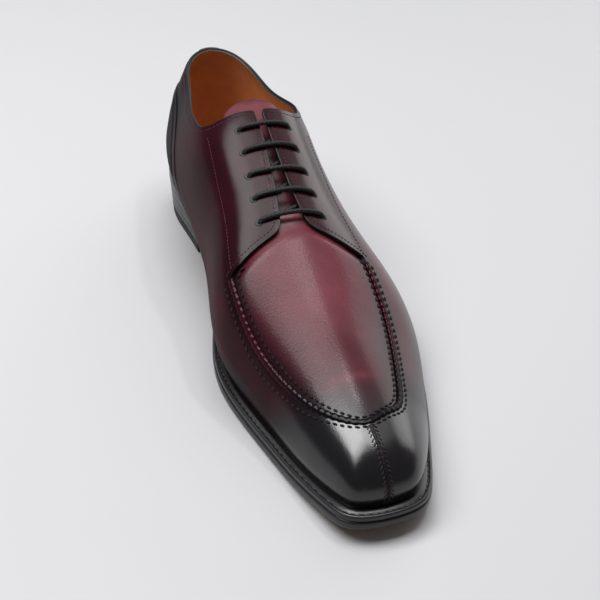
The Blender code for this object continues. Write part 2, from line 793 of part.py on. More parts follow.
def tube(name, path, diameter, sides=8):
    path = np.array(path)
    run = np.gradient(path, axis=0)
    run /= np.linalg.norm(run, axis=1)[:, None]
    rings = []
    lead = np.array([0.0, 1.0, 0.0])
    for point, way in zip(path, run):
        lead = lead - way * np.dot(lead, way)
        lead /= np.linalg.norm(lead)
        other = np.cross(way, lead)
        ring = []
        for k in range(sides):
            a = 2 * math.pi * k / sides
            ring.append(tuple(point + diameter / 2 * (math.cos(a) * lead + math.sin(a) * other)))
        rings.append(ring)
    return loft(name, rings)


for old in list(bpy.data.objects):
    bpy.data.objects.remove(old, do_unlink=True)

PARTS = collection("split_toe_derby")
CUTS = collection("cutters")

build_sole()
build_heel()
build_upper()
build_tongue()
build_laces()

for cutter in CUTS.objects:
    cutter.hide_render = True
    cutter.hide_set(True)
    cutter.display_type = "WIRE"

FINISHES = {
    "outsole": ((0.012, 0.010, 0.010), 0.45, 0.1),
    "welt": ((0.012, 0.010, 0.010), 0.45, 0.1),
    "heel_stack": ((0.012, 0.010, 0.010), 0.40, 0.2),
    "top_piece": ((0.010, 0.010, 0.010), 0.70, 0.0),
    "insole": ((0.50, 0.30, 0.16), 0.60, 0.0),
    "upper": ((0.075, 0.012, 0.016), 0.30, 0.4),
    "tongue": ((0.085, 0.014, 0.020), 0.40, 0.2),
    "laces": ((0.010, 0.010, 0.012), 0.60, 0.0),
}
for piece in PARTS.objects:
    colour, roughness, coat = FINISHES[piece.name]
    paint(piece, colour, roughness, coat)
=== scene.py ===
import math
import bpy
import bmesh
import numpy as np
from mathutils import Matrix, Vector


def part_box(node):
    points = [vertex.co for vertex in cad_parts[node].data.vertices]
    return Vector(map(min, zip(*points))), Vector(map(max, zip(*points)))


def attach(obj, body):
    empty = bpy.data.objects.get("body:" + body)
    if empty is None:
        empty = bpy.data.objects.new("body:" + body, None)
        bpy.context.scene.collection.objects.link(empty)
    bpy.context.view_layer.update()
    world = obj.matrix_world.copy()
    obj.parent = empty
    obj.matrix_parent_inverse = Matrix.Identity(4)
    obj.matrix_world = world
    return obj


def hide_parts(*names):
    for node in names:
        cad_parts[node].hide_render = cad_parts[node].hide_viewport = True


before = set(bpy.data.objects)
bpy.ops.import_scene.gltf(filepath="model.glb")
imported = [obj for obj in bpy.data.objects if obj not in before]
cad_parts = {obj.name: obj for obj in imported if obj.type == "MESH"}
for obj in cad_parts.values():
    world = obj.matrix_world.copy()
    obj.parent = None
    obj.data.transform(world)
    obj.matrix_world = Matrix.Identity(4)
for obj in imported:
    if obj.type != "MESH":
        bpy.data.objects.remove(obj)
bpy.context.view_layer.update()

print("frame loaded")

# The shoe's own sizes in millimetres, the same as in the part's source.
# Here x is positive on the medial side and zero on the last's axis.
shoe = {
    "length": 304.0,
    "ballWidth": 104.0,
    "toeSpring": 8.0,
    "heelRise": 25.0,
    "outsoleThick": 5.0,
    "weltThick": 3.0,
    "weltLedge": 6.0,
    "clear": 0.3,
    "instepHeight": 110.0,
    "waistOverhang": 16.0,
    "wall": 2.2,
    "ridgeToe": 0.10,
    "ridgeToeSpan": 0.24,
    "ridgeHeel": 0.93,
    "ridgeHeelSpan": 0.80,
    "columns": 240,  # of the leather's mesh, on each side
    "rows": 92,
}

# along, medial, lateral, ledge
outlineRows = [
    (0.000, 0.000, 0.000, 1.00),
    (0.005, 0.118, 0.118, 1.00),
    (0.023, 0.197, 0.202, 0.97),
    (0.064, 0.246, 0.276, 0.88),
    (0.137, 0.300, 0.367, 0.80),
    (0.215, 0.345, 0.457, 0.78),
    (0.301, 0.393, 0.538, 0.76),
    (0.380, 0.414, 0.597, 0.74),
    (0.456, 0.382, 0.602, 0.68),
    (0.538, 0.307, 0.527, 0.60),
    (0.630, 0.243, 0.434, 0.55),
    (0.729, 0.219, 0.379, 0.50),
    (0.808, 0.229, 0.332, 0.45),
    (0.883, 0.244, 0.322, 0.42),
    (0.942, 0.212, 0.286, 0.42),
    (0.980, 0.130, 0.205, 0.45),
    (1.000, -0.038, 0.038, 0.45),
]
# along, then medial and lateral: out, belly, full, draft; crown, ridge
sectionRows = [
    (0.000, 0.03, 0.03, 0.20, 0.20, 2.1, 2.1, 0.00, 0.00, 0.330, 0.00),
    (0.064, 0.05, 0.08, 0.20, 0.20, 2.1, 2.05, 0.03, 0.05, 0.360, 0.00),
    (0.137, 0.08, 0.16, 0.22, 0.17, 2.1, 2.0, 0.08, 0.21, 0.400, 0.00),
    (0.215, 0.11, 0.14, 0.28, 0.15, 2.2, 2.0, 0.10, 0.33, 0.468, 0.00),
    (0.301, 0.19, 0.17, 0.35, 0.14, 2.6, 2.0, 0.10, 0.35, 0.545, 0.00),
    (0.380, 0.35, 0.16, 0.40, 0.14, 2.9, 2.1, 0.08, 0.31, 0.636, 0.00),
    (0.456, 0.36, 0.15, 0.40, 0.15, 3.0, 2.2, 0.08, 0.37, 0.736, 0.00),
    (0.538, 0.51, 0.11, 0.38, 0.18, 3.0, 2.43, 0.08, 0.39, 0.836, 0.00),
    (0.630, 0.85, 0.17, 0.35, 0.26, 3.0, 3.0, 0.08, 0.37, 0.945, 0.00),
    (0.729, 0.95, 0.29, 0.31, 0.29, 2.6, 2.7, 0.22, 0.235, 1.010, -0.02),
    (0.808, 0.70, 0.19, 0.26, 0.26, 2.2, 2.2, 0.30, 0.145, 1.010, -0.04),
    (0.883, 0.28, 0.10, 0.24, 0.24, 2.0, 2.0, 0.28, 0.06, 0.975, -0.046),
    (0.942, 0.10, 0.08, 0.24, 0.24, 2.0, 2.0, 0.15, 0.05, 0.970, -0.046),
    (1.000, 0.08, 0.08, 0.24, 0.24, 2.0, 2.0, 0.05, 0.05, 0.970, -0.046),
]
# along, toe spring, heel rise
treadRows = [
    (0.000, 1.00, 0.00),
    (0.080, 0.50, 0.00),
    (0.160, 0.15, 0.00),
    (0.250, 0.00, 0.00),
    (0.400, 0.00, 0.00),
    (0.500, 0.00, 0.10),
    (0.600, 0.00, 0.42),
    (0.700, 0.00, 0.80),
    (0.780, 0.00, 0.95),
    (0.880, 0.00, 0.99),
    (1.000, 0.00, 1.00),
]


# ---- curves and the last's surface


def curveThrough(places, values):
    # natural cubic spline, level beyond its ends
    x = np.array(places, float)
    y = np.array(values, float)
    h = np.diff(x)
    n = len(x)
    matrix = np.eye(n)
    right = np.zeros(n)
    for i in range(1, n - 1):
        matrix[i, i - 1 : i + 2] = h[i - 1], 2 * (h[i - 1] + h[i]), h[i]
        right[i] = 6 * ((y[i + 1] - y[i]) / h[i] - (y[i] - y[i - 1]) / h[i - 1])
    bend = np.linalg.solve(matrix, right)

    def value(place):
        t = np.clip(np.asarray(place, float), x[0], x[-1])
        i = np.clip(np.searchsorted(x, t) - 1, 0, n - 2)
        p = (x[i + 1] - t) / h[i]
        q = (t - x[i]) / h[i]
        cubic = ((p**3 - p) * bend[i] + (q**3 - q) * bend[i + 1]) * h[i] ** 2 / 6
        return p * y[i] + q * y[i + 1] + cubic

    return value


def curveOf(rows, column=1):
    return curveThrough([row[0] for row in rows], [row[column] for row in rows])


def unit(vectors):
    return vectors / np.linalg.norm(vectors, axis=-1, keepdims=True)


def lengthsAlong(line):
    return np.concatenate([[0.0], np.cumsum(np.linalg.norm(np.diff(line, axis=0), axis=1))])


def pointsAt(line, run, places):
    return np.column_stack([np.interp(places, run, line[:, k]) for k in range(3)])


def turnOf(along):
    return np.arccos(np.clip(1 - 2 * np.asarray(along, float), -1, 1)) / math.pi


def alongOf(turn):
    return (1 - np.cos(math.pi * np.asarray(turn, float))) / 2


def columnCurves(rows, names):
    turns = turnOf([row[0] for row in rows])
    return {name: curveThrough(turns, [row[k + 1] for row in rows]) for k, name in enumerate(names)}


outline = columnCurves(outlineRows, ["medial", "lateral", "ledge"])
section = columnCurves(
    sectionRows,
    ["outM", "outL", "bellyM", "bellyL", "fullM", "fullL", "draftM", "draftL", "crown", "ridge"],
)
springCurve = curveOf(treadRows)
riseCurve = curveOf(treadRows, 2)


def placeY(along):
    return (along - 0.5) * shoe["length"]


def shareOf(y):
    return np.asarray(y, float) / shoe["length"] + 0.5


def treadHeight(y):
    along = shareOf(y)
    height = shoe["toeSpring"] * springCurve(along) + shoe["heelRise"] * riseCurve(along)
    return np.maximum(height, 0.0)


def soleEdge(turn, side, inset=0.0):
    half = outline["medial"] if side > 0 else outline["lateral"]

    def plain(t):
        return np.array([side * float(half(t)) * shoe["ballWidth"], placeY(float(alongOf(t)))])

    step = 1e-3
    run = plain(min(turn + step, 1.0)) - plain(max(turn - step, 0.0))
    if turn < step:
        run = np.array([side, 0.0])
    if turn > 1 - step:
        run = np.array([-side, 0.0])
    run = unit(run)
    inward = np.array([-run[1], run[0]]) * side
    return plain(turn) + inset * inward


def featherPoint(turn, side, inset=0.0):
    return soleEdge(turn, side, float(outline["ledge"](turn)) * shoe["weltLedge"] + inset)


def ridgePlace(turn):
    first = float(turnOf(shoe["ridgeToeSpan"]))
    last = float(turnOf(shoe["ridgeHeelSpan"]))
    start = 0.25
    if turn < first:
        near, far, w = shoe["ridgeToe"], shoe["ridgeToeSpan"], turn / first
        slope = math.pi / 2 * math.sin(math.pi * first) * first / (far - near)
    elif turn > last:
        near, far, w = shoe["ridgeHeel"], shoe["ridgeHeelSpan"], (1 - turn) / (1 - last)
        slope = math.pi / 2 * math.sin(math.pi * last) * (1 - last) / (near - far)
    else:
        return float(alongOf(turn))
    power = (slope - start) / (1 - start)
    return near + (far - near) * (start * w + (1 - start) * w**power)


def crownHeight(along):
    return section["crown"](turnOf(along)) * shoe["instepHeight"]


def sided(name, turn, side):
    medial = float(section[name + "M"](turn))
    lateral = float(section[name + "L"](turn))
    parting = 0.5 - 0.5 * math.cos(math.pi * min(1.0, turn / 0.08, (1 - turn) / 0.08))
    middle = (medial + lateral) / 2
    return middle + ((medial if side > 0 else lateral) - middle) * parting


def weltTop(y):
    return treadHeight(y) + shoe["outsoleThick"] + shoe["weltThick"] + shoe["clear"]


def lastColumn(turn, side, rows):
    # points of the leather's outer face, from the welt up to the crown
    foot = featherPoint(turn, side)
    widest = featherPoint(turn, side, -sided("out", turn, side) * shoe["waistOverhang"])
    place = ridgePlace(turn)
    top = np.array([float(section["ridge"](turnOf(place))) * shoe["ballWidth"], placeY(place)])
    base = float(weltTop(foot[1])) + shoe["clear"]
    full = sided("full", turn, side)
    draft = sided("draft", turn, side)
    belly = base + sided("belly", turn, side) * (float(crownHeight(place)) - base)
    w = np.linspace(0, 1, 13)[:-1]
    lower = foot + (widest - foot) * np.sin(math.pi / 2 * w)[:, None]
    lower = np.column_stack([lower, base + (belly - base) * w])
    angle = np.linspace(0, math.pi / 2, 110)
    lift = np.sin(angle) ** (2 / full)
    reach = np.maximum(np.cos(angle), 0.0) ** (2 / full) * (1 - draft * lift)
    plan = top + (widest - top) * reach[:, None]
    height = crownHeight(shareOf(plan[:, 1]))
    upperLine = np.column_stack([plan, belly + (height - belly) * lift])
    line = np.concatenate([lower, upperLine])
    run = lengthsAlong(line)
    return pointsAt(line, run, np.linspace(0, run[-1], rows + 1))


def loopOf(columns):
    turns = [i / columns for i in range(columns + 1)]
    return [(t, 1.0) for t in turns[:-1]] + [(t, -1.0) for t in turns[:0:-1]]


# x of the frame's origin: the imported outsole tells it
reach = max(-soleEdge(t, -1.0)[0] for t in [i / 36 for i in range(37)])
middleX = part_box("outsole")[1].x * 1000 - reach


def toFrame(points):
    points = np.asarray(points, float)
    out = points * 0.001
    out[..., 0] = (middleX - points[..., 0]) * 0.001
    return out


skin = np.array([lastColumn(t, s, shoe["rows"]) for t, s in loopOf(shoe["columns"])])
loopCount = len(skin)
halfCount = loopCount // 2


def gridNormals(grid):
    # the loop is closed, and both sides share the crown
    around = np.roll(grid, -1, axis=0) - np.roll(grid, 1, axis=0)
    up = np.gradient(grid, axis=1)
    normal = np.cross(up, around)
    normal /= np.maximum(np.linalg.norm(normal, axis=2), 1e-9)[:, :, None]
    outward = grid - np.array([0.0, 0.0, 40.0])
    outward[:, :, 1] *= 0.2
    if np.sum(outward * normal) < 0:
        normal = -normal
    mate = (-np.arange(loopCount)) % loopCount
    crown = normal[:, -1] + normal[mate, -1]
    crown += np.array([0.0, 0.0, 1e-6])
    normal[:, -1] = unit(crown)
    return normal


skinNormal = gridNormals(skin)
print("leather surface worked out")


def cellCorners(nI, nR):
    # the grid's four-sided cells, the loop of columns closed
    index = np.arange(nI * nR).reshape(nI, nR)
    onward = np.roll(index, -1, axis=0)
    return np.stack([index[:, :-1], onward[:, :-1], onward[:, 1:], index[:, 1:]], axis=-1).reshape(-1, 4)


def clipGrid(points, values, extra):
    # keeps the part of the leather grid where values are positive, cut cleanly along zero,
    # and carries one more value per point
    nI, nR = values.shape
    flat = points.reshape(-1, 3)
    value = values.reshape(-1)
    quads = cellCorners(nI, nR)
    inside = value[quads] > 0
    count = inside.sum(axis=1)
    faces = [tuple(int(i) for i in q) for q in quads[count == 4]]
    cuts = {}

    def crossing(i, j):
        key = (min(i, j), max(i, j))
        if key not in cuts:
            cuts[key] = (len(flat) + len(cuts), i, j, value[i] / (value[i] - value[j]))
        return cuts[key][0]

    for q in quads[(count > 0) & (count < 4)]:
        face = []
        for k in range(4):
            i, j = int(q[k]), int(q[(k + 1) % 4])
            if value[i] > 0:
                face.append(i)
            if (value[i] > 0) != (value[j] > 0):
                face.append(crossing(i, j))
        if len(face) > 2:
            faces.append(tuple(face))
    place, i, j, w = (np.array(column) for column in zip(*cuts.values()))
    extra = extra.reshape(-1)
    extra = np.concatenate([extra, extra[i] * (1 - w) + extra[j] * w])
    w = w[:, None]
    flat = np.concatenate([flat, flat[i] * (1 - w) + flat[j] * w])
    used = np.unique([i for f in faces for i in f])
    remap = np.full(len(flat), -1)
    remap[used] = np.arange(len(used))
    faces = [tuple(int(remap[i]) for i in f) for f in faces]
    return flat[used], faces, extra[used]


def traceLevel(points, values, level, keep):
    # lines on the leather where values equal level, longest first, as (points, normals)
    nI, nR = values.shape
    value = values.reshape(-1) - level
    flat = points.reshape(-1, 3)
    flatNormal = skinNormal.reshape(-1, 3)
    quads = cellCorners(nI, nR)
    side = value[quads] > 0
    mixed = quads[(side.any(axis=1)) & (~side.all(axis=1))]
    links = {}
    place = {}

    def keyOf(i, j):
        # crown points of both sides are one place
        def one(p):
            column, row = divmod(p, nR)
            if row == nR - 1 and column > halfCount:
                column = loopCount - column
            return column * nR + row

        i, j = one(i), one(j)
        return (min(i, j), max(i, j))

    for q in mixed:
        hits = []
        for k in range(4):
            i, j = int(q[k]), int(q[(k + 1) % 4])
            if (value[i] > 0) != (value[j] > 0):
                key = keyOf(i, j)
                w = value[i] / (value[i] - value[j])
                place[key] = (flat[i] * (1 - w) + flat[j] * w, flatNormal[i] * (1 - w) + flatNormal[j] * w)
                hits.append(key)
        for k in range(0, len(hits) - 1, 2):
            links.setdefault(hits[k], []).append(hits[k + 1])
            links.setdefault(hits[k + 1], []).append(hits[k])
    links = {k: v for k, v in links.items() if keep(place[k][0])}
    links = {k: [m for m in v if m in links] for k, v in links.items()}
    left = set(links)
    lines = []
    ends = [k for k in links if len(links[k]) == 1] + list(links)
    for start in ends:
        if start not in left:
            continue
        line = [start]
        left.discard(start)
        while True:
            nxt = [m for m in links[line[-1]] if m in left]
            if not nxt:
                break
            line.append(nxt[0])
            left.discard(nxt[0])
        if len(line) > 3:
            p = np.array([place[k][0] for k in line])
            lines.append((p, unit(np.array([place[k][1] for k in line]))))
    lines.sort(key=lambda l: -len(l[0]))
    return lines


def resample(line, normals, pitch, smooth=0):
    for _ in range(smooth):
        mid = (line[:-2] + line[1:-1] * 2 + line[2:]) / 4
        line = np.concatenate([line[:1], mid, line[-1:]])
    run = lengthsAlong(line)
    count = max(int(round(run[-1] / pitch)), 2)
    even = np.linspace(0, run[-1], count + 1)
    return pointsAt(line, run, even), unit(pointsAt(normals, run, even))


def lineDistance(px, py, line):
    # plain distance to an open line
    best = np.full(px.shape, 1e9)
    for (ax, ay), (bx, by) in zip(line, line[1:]):
        ex, ey = bx - ax, by - ay
        t = np.clip(((px - ax) * ex + (py - ay) * ey) / max(ex * ex + ey * ey, 1e-12), 0, 1)
        best = np.minimum(best, (px - ax - t * ex) ** 2 + (py - ay - t * ey) ** 2)
    return np.sqrt(best)


def polygonDistance(px, py, polygon):
    # signed distance to a closed outline, positive inside
    closed = polygon + polygon[:1]
    inside = np.zeros(px.shape, bool)
    for (ax, ay), (bx, by) in zip(closed, closed[1:]):
        inside ^= ((ay > py) != (by > py)) & (px < (bx - ax) * (py - ay) / ((by - ay) or 1e-12) + ax)
    return lineDistance(px, py, closed) * np.where(inside, 1, -1)


def smoothStep(low, high, value):
    t = np.clip((value - low) / (high - low), 0, 1)
    return t * t * (3 - 2 * t)


# ---- meshes and materials


def linearOf(hexColour):
    # sRGB hex to linear, with alpha
    parts = [int(hexColour[i : i + 2], 16) / 255 for i in (1, 3, 5)]
    return tuple(c / 12.92 if c <= 0.04045 else ((c + 0.055) / 1.055) ** 2.4 for c in parts) + (1.0,)


def addNode(tree, kind, settings=None, values=None, links=None):
    node = tree.nodes.new(kind)
    for key, value in (settings or {}).items():
        setattr(node, key, value)
    for key, value in (values or {}).items():
        node.inputs[key].default_value = value
    for key, source in (links or {}).items():
        tree.links.new(source, node.inputs[key])
    return node


def newMaterial(name, values):
    material = bpy.data.materials.new(name)
    material.use_nodes = True
    tree = material.node_tree
    shader = tree.nodes["Principled BSDF"]
    for key, value in values.items():
        shader.inputs[key].default_value = value
    material.diffuse_color = tuple(shader.inputs["Base Color"].default_value)
    return material, tree, shader


def rampOf(tree, factor, stops):
    ramp = addNode(tree, "ShaderNodeValToRGB", links={"Fac": factor})
    elements = ramp.color_ramp.elements
    while len(elements) < len(stops):
        elements.new(0.5)
    for element, (place, colour) in zip(elements, stops):
        element.position = place
        element.color = linearOf(colour)
    return ramp


def makeObject(name, shape, materials):
    points, faces = shape
    mesh = bpy.data.meshes.new(name)
    mesh.from_pydata([tuple(p) for p in toFrame(points)], [], faces)
    mesh.update()
    for material in materials:
        mesh.materials.append(material)
    mesh.shade_smooth()
    obj = bpy.data.objects.new(name, mesh)
    bpy.context.scene.collection.objects.link(obj)
    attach(obj, "root")
    return obj


def cleanMesh(obj, merge, sharpAngle=0):
    # welds points closer than merge, in millimetres, and turns the faces outwards
    shape = bmesh.new()
    shape.from_mesh(obj.data)
    bmesh.ops.remove_doubles(shape, verts=shape.verts, dist=merge * 0.001)
    bmesh.ops.recalc_face_normals(shape, faces=shape.faces)
    for edge in shape.edges:
        # a cut edge stays crisp when the panel gets its thickness
        edge.smooth = not edge.is_boundary
    shape.to_mesh(obj.data)
    shape.free()
    if sharpAngle:
        obj.data.set_sharp_from_angle(angle=math.radians(sharpAngle))


def faceOutwards(obj):
    # flips the mesh if most of its faces look inwards
    mesh = obj.data
    centre = np.array(toFrame(np.array([0.0, 0.0, 30.0])))
    total = 0.0
    for polygon in list(mesh.polygons)[:: max(1, len(mesh.polygons) // 400)]:
        away = np.array(polygon.center) - centre
        away[1] *= 0.2
        total += float(np.dot(away, polygon.normal)) * polygon.area
    if total < 0:
        mesh.flip_normals()


def ringFaces(count, sides, closed=False, caps=False, start=0):
    # four-sided faces between rings of points, with a flat cap at each end
    faces = []
    for k in range(count if closed else count - 1):
        here, onward = start + k * sides, start + (k + 1) % count * sides
        for i in range(sides):
            j = (i + 1) % sides
            faces.append((here + i, here + j, onward + j, onward + i))
    if caps:
        faces.append(tuple(range(start, start + sides))[::-1])
        faces.append(tuple(range(start + (count - 1) * sides, start + count * sides)))
    return faces


def tubeAlong(points, normals, radius, sides=10, squash=1.0, swell=1.0):
    # mesh tube along a line, its section turned with the leather's normals
    count = len(points)
    run = unit(np.gradient(points, axis=0))
    up = unit(normals - run * np.sum(normals * run, axis=1)[:, None])
    across = np.cross(run, up)
    angles = np.linspace(0, 2 * math.pi, sides, endpoint=False)
    size = radius * swell * np.ones(count)
    rings = []
    for k in range(count):
        ring = points[k] + size[k] * (
            np.cos(angles)[:, None] * across[k] + squash * np.sin(angles)[:, None] * up[k]
        )
        rings.append(ring)
    return np.concatenate(rings), ringFaces(count, sides, caps=True)


def stitchRow(points, normals, values):
    # one small thread capsule per stitch, sunk into the leather
    pitch, length, width = values["pitch"], values["length"], values["width"]
    line, up = resample(points, normals, pitch)
    slant = math.radians(values.get("slant", 0.0))
    vertices, faces = [], []
    profile = [(-0.5, 0.25), (-0.36, 0.8), (0.0, 1.0), (0.36, 0.8), (0.5, 0.25)]
    for k in range(len(line) - 1):
        centre = (line[k] + line[k + 1]) / 2
        normal = unit(up[k] + up[k + 1])
        way = line[k + 1] - line[k]
        way = unit(way - normal * np.dot(way, normal))
        side = np.cross(normal, way)
        way = way * math.cos(slant) + side * math.sin(slant)
        side = np.cross(normal, way)
        start = len(vertices)
        for along, size in profile:
            dip = -0.9 * width * (along * 2) ** 4
            for i in range(6):
                a = 2 * math.pi * i / 6
                vertices.append(
                    centre
                    + way * along * length
                    + normal * (values["lift"] + dip * 0.5 + math.sin(a) * width / 2 * size)
                    + side * math.cos(a) * width / 2 * size
                )
        faces += ringFaces(len(profile), 6, caps=True, start=start)
    return vertices, [face[::-1] for face in faces]


def joinParts(parts):
    vertices, faces = [], []
    for v, f in parts:
        start = len(vertices)
        vertices += [tuple(p) for p in v]
        faces += [tuple(i + start for i in face) for face in f]
    return np.array(vertices), faces


def sew(name, rows, material):
    # one object of all the stitches; each row is its points, normals and values
    return makeObject(name, joinParts([stitchRow(*row) for row in rows]), [material])


def planLine(rows, steps):
    places = range(len(rows))
    along = curveThrough(places, [r[0] for r in rows])
    across = curveThrough(places, [r[1] for r in rows])
    t = np.linspace(0, len(rows) - 1, (len(rows) - 1) * steps + 1)
    return [(float(across(w)) * shoe["ballWidth"], placeY(float(along(w)))) for w in t]


# ---- leather finishes

calfFinish = {
    "bare": "#692f39",  # least burnished, on the crown of the apron
    "wine": "#46111d",
    "oxblood": "#2b0b13",
    "deep": "#130a0f",
    "black": "#08070b",
    "cloudMm": 26.0,
    "cloudDepth": 0.09,
    "grainDepth": 0.16,
    "waxWeight": 1.0,
}


def noiseOf(tree, coords, sizeMm, detail, roughness=0.5):
    values = {"Scale": 1000 / sizeMm, "Detail": detail, "Roughness": roughness}
    links = {"Vector": coords.outputs["Object"]}
    return addNode(tree, "ShaderNodeTexNoise", values=values, links=links).outputs["Fac"]


def rangeOf(tree, value, *span):
    values = dict(zip(("From Min", "From Max", "To Min", "To Max"), span))
    return addNode(tree, "ShaderNodeMapRange", values=values, links={"Value": value}).outputs["Result"]


def mathOf(tree, operation, values, links, clamp=False):
    settings = {"operation": operation, "use_clamp": clamp}
    return addNode(tree, "ShaderNodeMath", settings, values, links).outputs[0]


def bumpOf(tree, shader, height, strength, distance, sockets=("Normal",)):
    values = {"Strength": strength, "Distance": distance}
    bump = addNode(tree, "ShaderNodeBump", values=values, links={"Height": height})
    for socket in sockets:
        tree.links.new(bump.outputs["Normal"], shader.inputs[socket])


def calfMaterial(
    name, shift=0.0, coat=0.2, dull=0.36, polished=0.12, mirrored=False, grainMm=0.5, gloss=0.0
):
    # burnished calf: waxed and polished, wine where it is thin and black where it is built up,
    # so the eye sees a deep gloss with a soft cloud in it and hardly any grain
    v = calfFinish
    values = {"Roughness": 0.3, "IOR": 1.5, "Coat Weight": coat, "Coat Roughness": 0.2, "Coat IOR": 1.6}
    values["Specular IOR Level"] = gloss
    material, tree, shader = newMaterial(name, values)
    coords = addNode(tree, "ShaderNodeTexCoord")
    # the burnish attribute also carries painted shade on the medial walls
    burnishAndShadeNode = addNode(tree, "ShaderNodeAttribute", {"attribute_name": "burnish"})
    cloud = noiseOf(tree, coords, v["cloudMm"], 4.0, 0.6)
    spread = rangeOf(tree, cloud, 0.3, 0.7, shift - v["cloudDepth"], shift + v["cloudDepth"])
    mixed = mathOf(tree, "ADD", None, {0: burnishAndShadeNode.outputs["Fac"], 1: spread}, clamp=True)
    tones = ((0.0, "bare"), (0.30, "wine"), (0.52, "oxblood"), (0.76, "deep"), (1.0, "black"))
    ramp = rampOf(tree, mixed, [(place, v[tone]) for place, tone in tones])
    tree.links.new(ramp.outputs["Color"], shader.inputs["Base Color"])
    tree.links.new(rangeOf(tree, mixed, 0.1, 0.95, dull, polished), shader.inputs["Roughness"])
    grain = addNode(
        tree,
        "ShaderNodeTexVoronoi",
        {"feature": "SMOOTH_F1"},
        {"Scale": 1000 / grainMm, "Smoothness": 0.6},
        {"Vector": coords.outputs["Object"]},
    )
    wave = noiseOf(tree, coords, 9.0, 3.0)
    both = mathOf(tree, "MULTIPLY_ADD", {1: 0.35}, {0: grain.outputs["Distance"], 2: wave})
    sockets = ("Normal", "Coat Normal") if mirrored else ("Normal",)
    bumpOf(tree, shader, both, v["grainDepth"], 0.0006, sockets)
    if mirrored:
        # polishing wax lies over the leather like a clear coat, thickest on the toe
        wax = addNode(tree, "ShaderNodeAttribute", {"attribute_name": "mirror"})
        layer = rangeOf(tree, wax.outputs["Fac"], 0.0, 1.0, coat, v["waxWeight"])
        tree.links.new(layer, shader.inputs["Coat Weight"])
    return material


def plainLeather(name, light, dark, roughness, grainMm, coat=0.0):
    # smooth leather seen edge on or unpolished, two near tones clouded together
    values = {"Roughness": roughness, "IOR": 1.48, "Coat Weight": coat, "Coat Roughness": 0.15}
    material, tree, shader = newMaterial(name, values)
    coords = addNode(tree, "ShaderNodeTexCoord")
    ramp = rampOf(tree, noiseOf(tree, coords, 14.0, 6.0, 0.65), [(0.3, dark), (0.7, light)])
    tree.links.new(ramp.outputs["Color"], shader.inputs["Base Color"])
    bumpOf(tree, shader, noiseOf(tree, coords, grainMm, 3.0), 0.15, 0.0004)
    return material


calfUpper = calfMaterial("burnishedCalf", 0.0, 0.2, mirrored=True)
# the apron is only brushed, so its highlights stay soft
calfApron = calfMaterial("brushedCalfApron", 0.0, 0.08, 0.4, 0.28, mirrored=True, grainMm=1.1, gloss=0.17)
# the sewn ridges are rubbed black in their grooves and hardly shine
calfSeam = calfMaterial("blackenedCalfSeam", 0.0, 0.0, 0.6, 0.5, gloss=0.2)
calfCounter = calfMaterial("burnishedCalfCounter", 0.0, 0.14)
calfTongue = calfMaterial("softCalfTongue", -0.02, 0.03, 0.5, 0.42, gloss=0.2)
# cut and waxed leather edge: black, a dull shine
blackEdge = plainLeather("waxedBlackEdge", "#100c0e", "#080607", 0.55, 0.5)
# vegetable tanned lining calf: warm tan, matt
tanLining = plainLeather("tanLiningCalf", "#cd8a57", "#b87646", 0.55, 0.4)
# leather sock over the insole: the same tan, a little shinier from the heel's press
tanSock = plainLeather("tanSockLeather", "#b97f52", "#a56a40", 0.5, 0.4)
# sole bends: edges dyed black and burnished with hot wax
soleEdgeBlack = plainLeather("hotWaxedSoleEdge", "#17161a", "#0c0b0e", 0.34, 0.7, 0.05)
# oak bark tanned sole leather, left natural underneath
soleBottom = plainLeather("oakTannedSole", "#9a754f", "#86633f", 0.5, 0.8)
# rubber top piece: dull black
heelRubber = plainLeather("blackHeelRubber", "#151516", "#0e0e0f", 0.65, 0.6)


def threadMaterial(name, light, dark, twistMm):
    # twisted waxed thread: a fine diagonal twist, a little shine
    material, tree, shader = newMaterial(name, {"Roughness": 0.7, "IOR": 1.5, "Specular IOR Level": 0.25})
    coords = addNode(tree, "ShaderNodeTexCoord")
    twist = addNode(
        tree,
        "ShaderNodeTexWave",
        {"bands_direction": "DIAGONAL"},
        {"Scale": 1000 / twistMm / 6.28, "Distortion": 1.0},
        {"Vector": coords.outputs["Object"]},
    )
    ramp = rampOf(tree, twist.outputs["Fac"], [(0.2, dark), (0.8, light)])
    tree.links.new(ramp.outputs["Color"], shader.inputs["Base Color"])
    bumpOf(tree, shader, twist.outputs["Fac"], 0.4, 0.0001)
    return material


darkThread = threadMaterial("waxedBlackThread", "#0f0b0d", "#060506", 0.6)
toeThread = threadMaterial("waxedToeThread", "#2e2629", "#120e11", 0.6)
wineThread = threadMaterial("wineThread", "#5c2430", "#34121b", 0.6)
weltThread = threadMaterial("weltThread", "#4d4744", "#26221f", 0.8)
print("materials made")

# ---- lines on the leather

apronValues = {
    # from the facing's corner round the toe: along, across
    "line": [
        (0.407, 0.346),
        (0.340, 0.340),
        (0.270, 0.300),
        (0.200, 0.232),
        (0.153, 0.165),
        (0.120, 0.085),
        (0.107, 0.0),
        (0.120, -0.095),
        (0.142, -0.190),
        (0.200, -0.258),
        (0.270, -0.315),
        (0.340, -0.340),
        (0.414, -0.325),
    ],
    "facingEdge": [
        (0.407, 0.346),
        (0.418, 0.240),
        (0.432, 0.120),
        (0.440, 0.045),
        (0.440, -0.045),
        (0.432, -0.120),
        (0.420, -0.230),
        (0.414, -0.325),
    ],
    "sunk": 0.75,  # the apron lies this much below the walls
    "tuck": 1.75,  # and this much deeper where it goes in under the facings
    "thick": 1.3,
}
lacingValues = {
    "throatY": -17.0,
    "collarY": 48.0,
    "drift": 2.0,
    "slotTop": 4.0,
    "slotFoot": 11.0,
    "firstY": -13.0,
    "lastY": 36.0,
    "pairs": 5,
    "reachFoot": 16.6,
    "reachTop": 13.4,
    "laceDiameter": 2.4,
    "facingThick": 2.4,
}
collarValues = {"frontY": 48.0, "dip": 86.0, "back": 92.5}


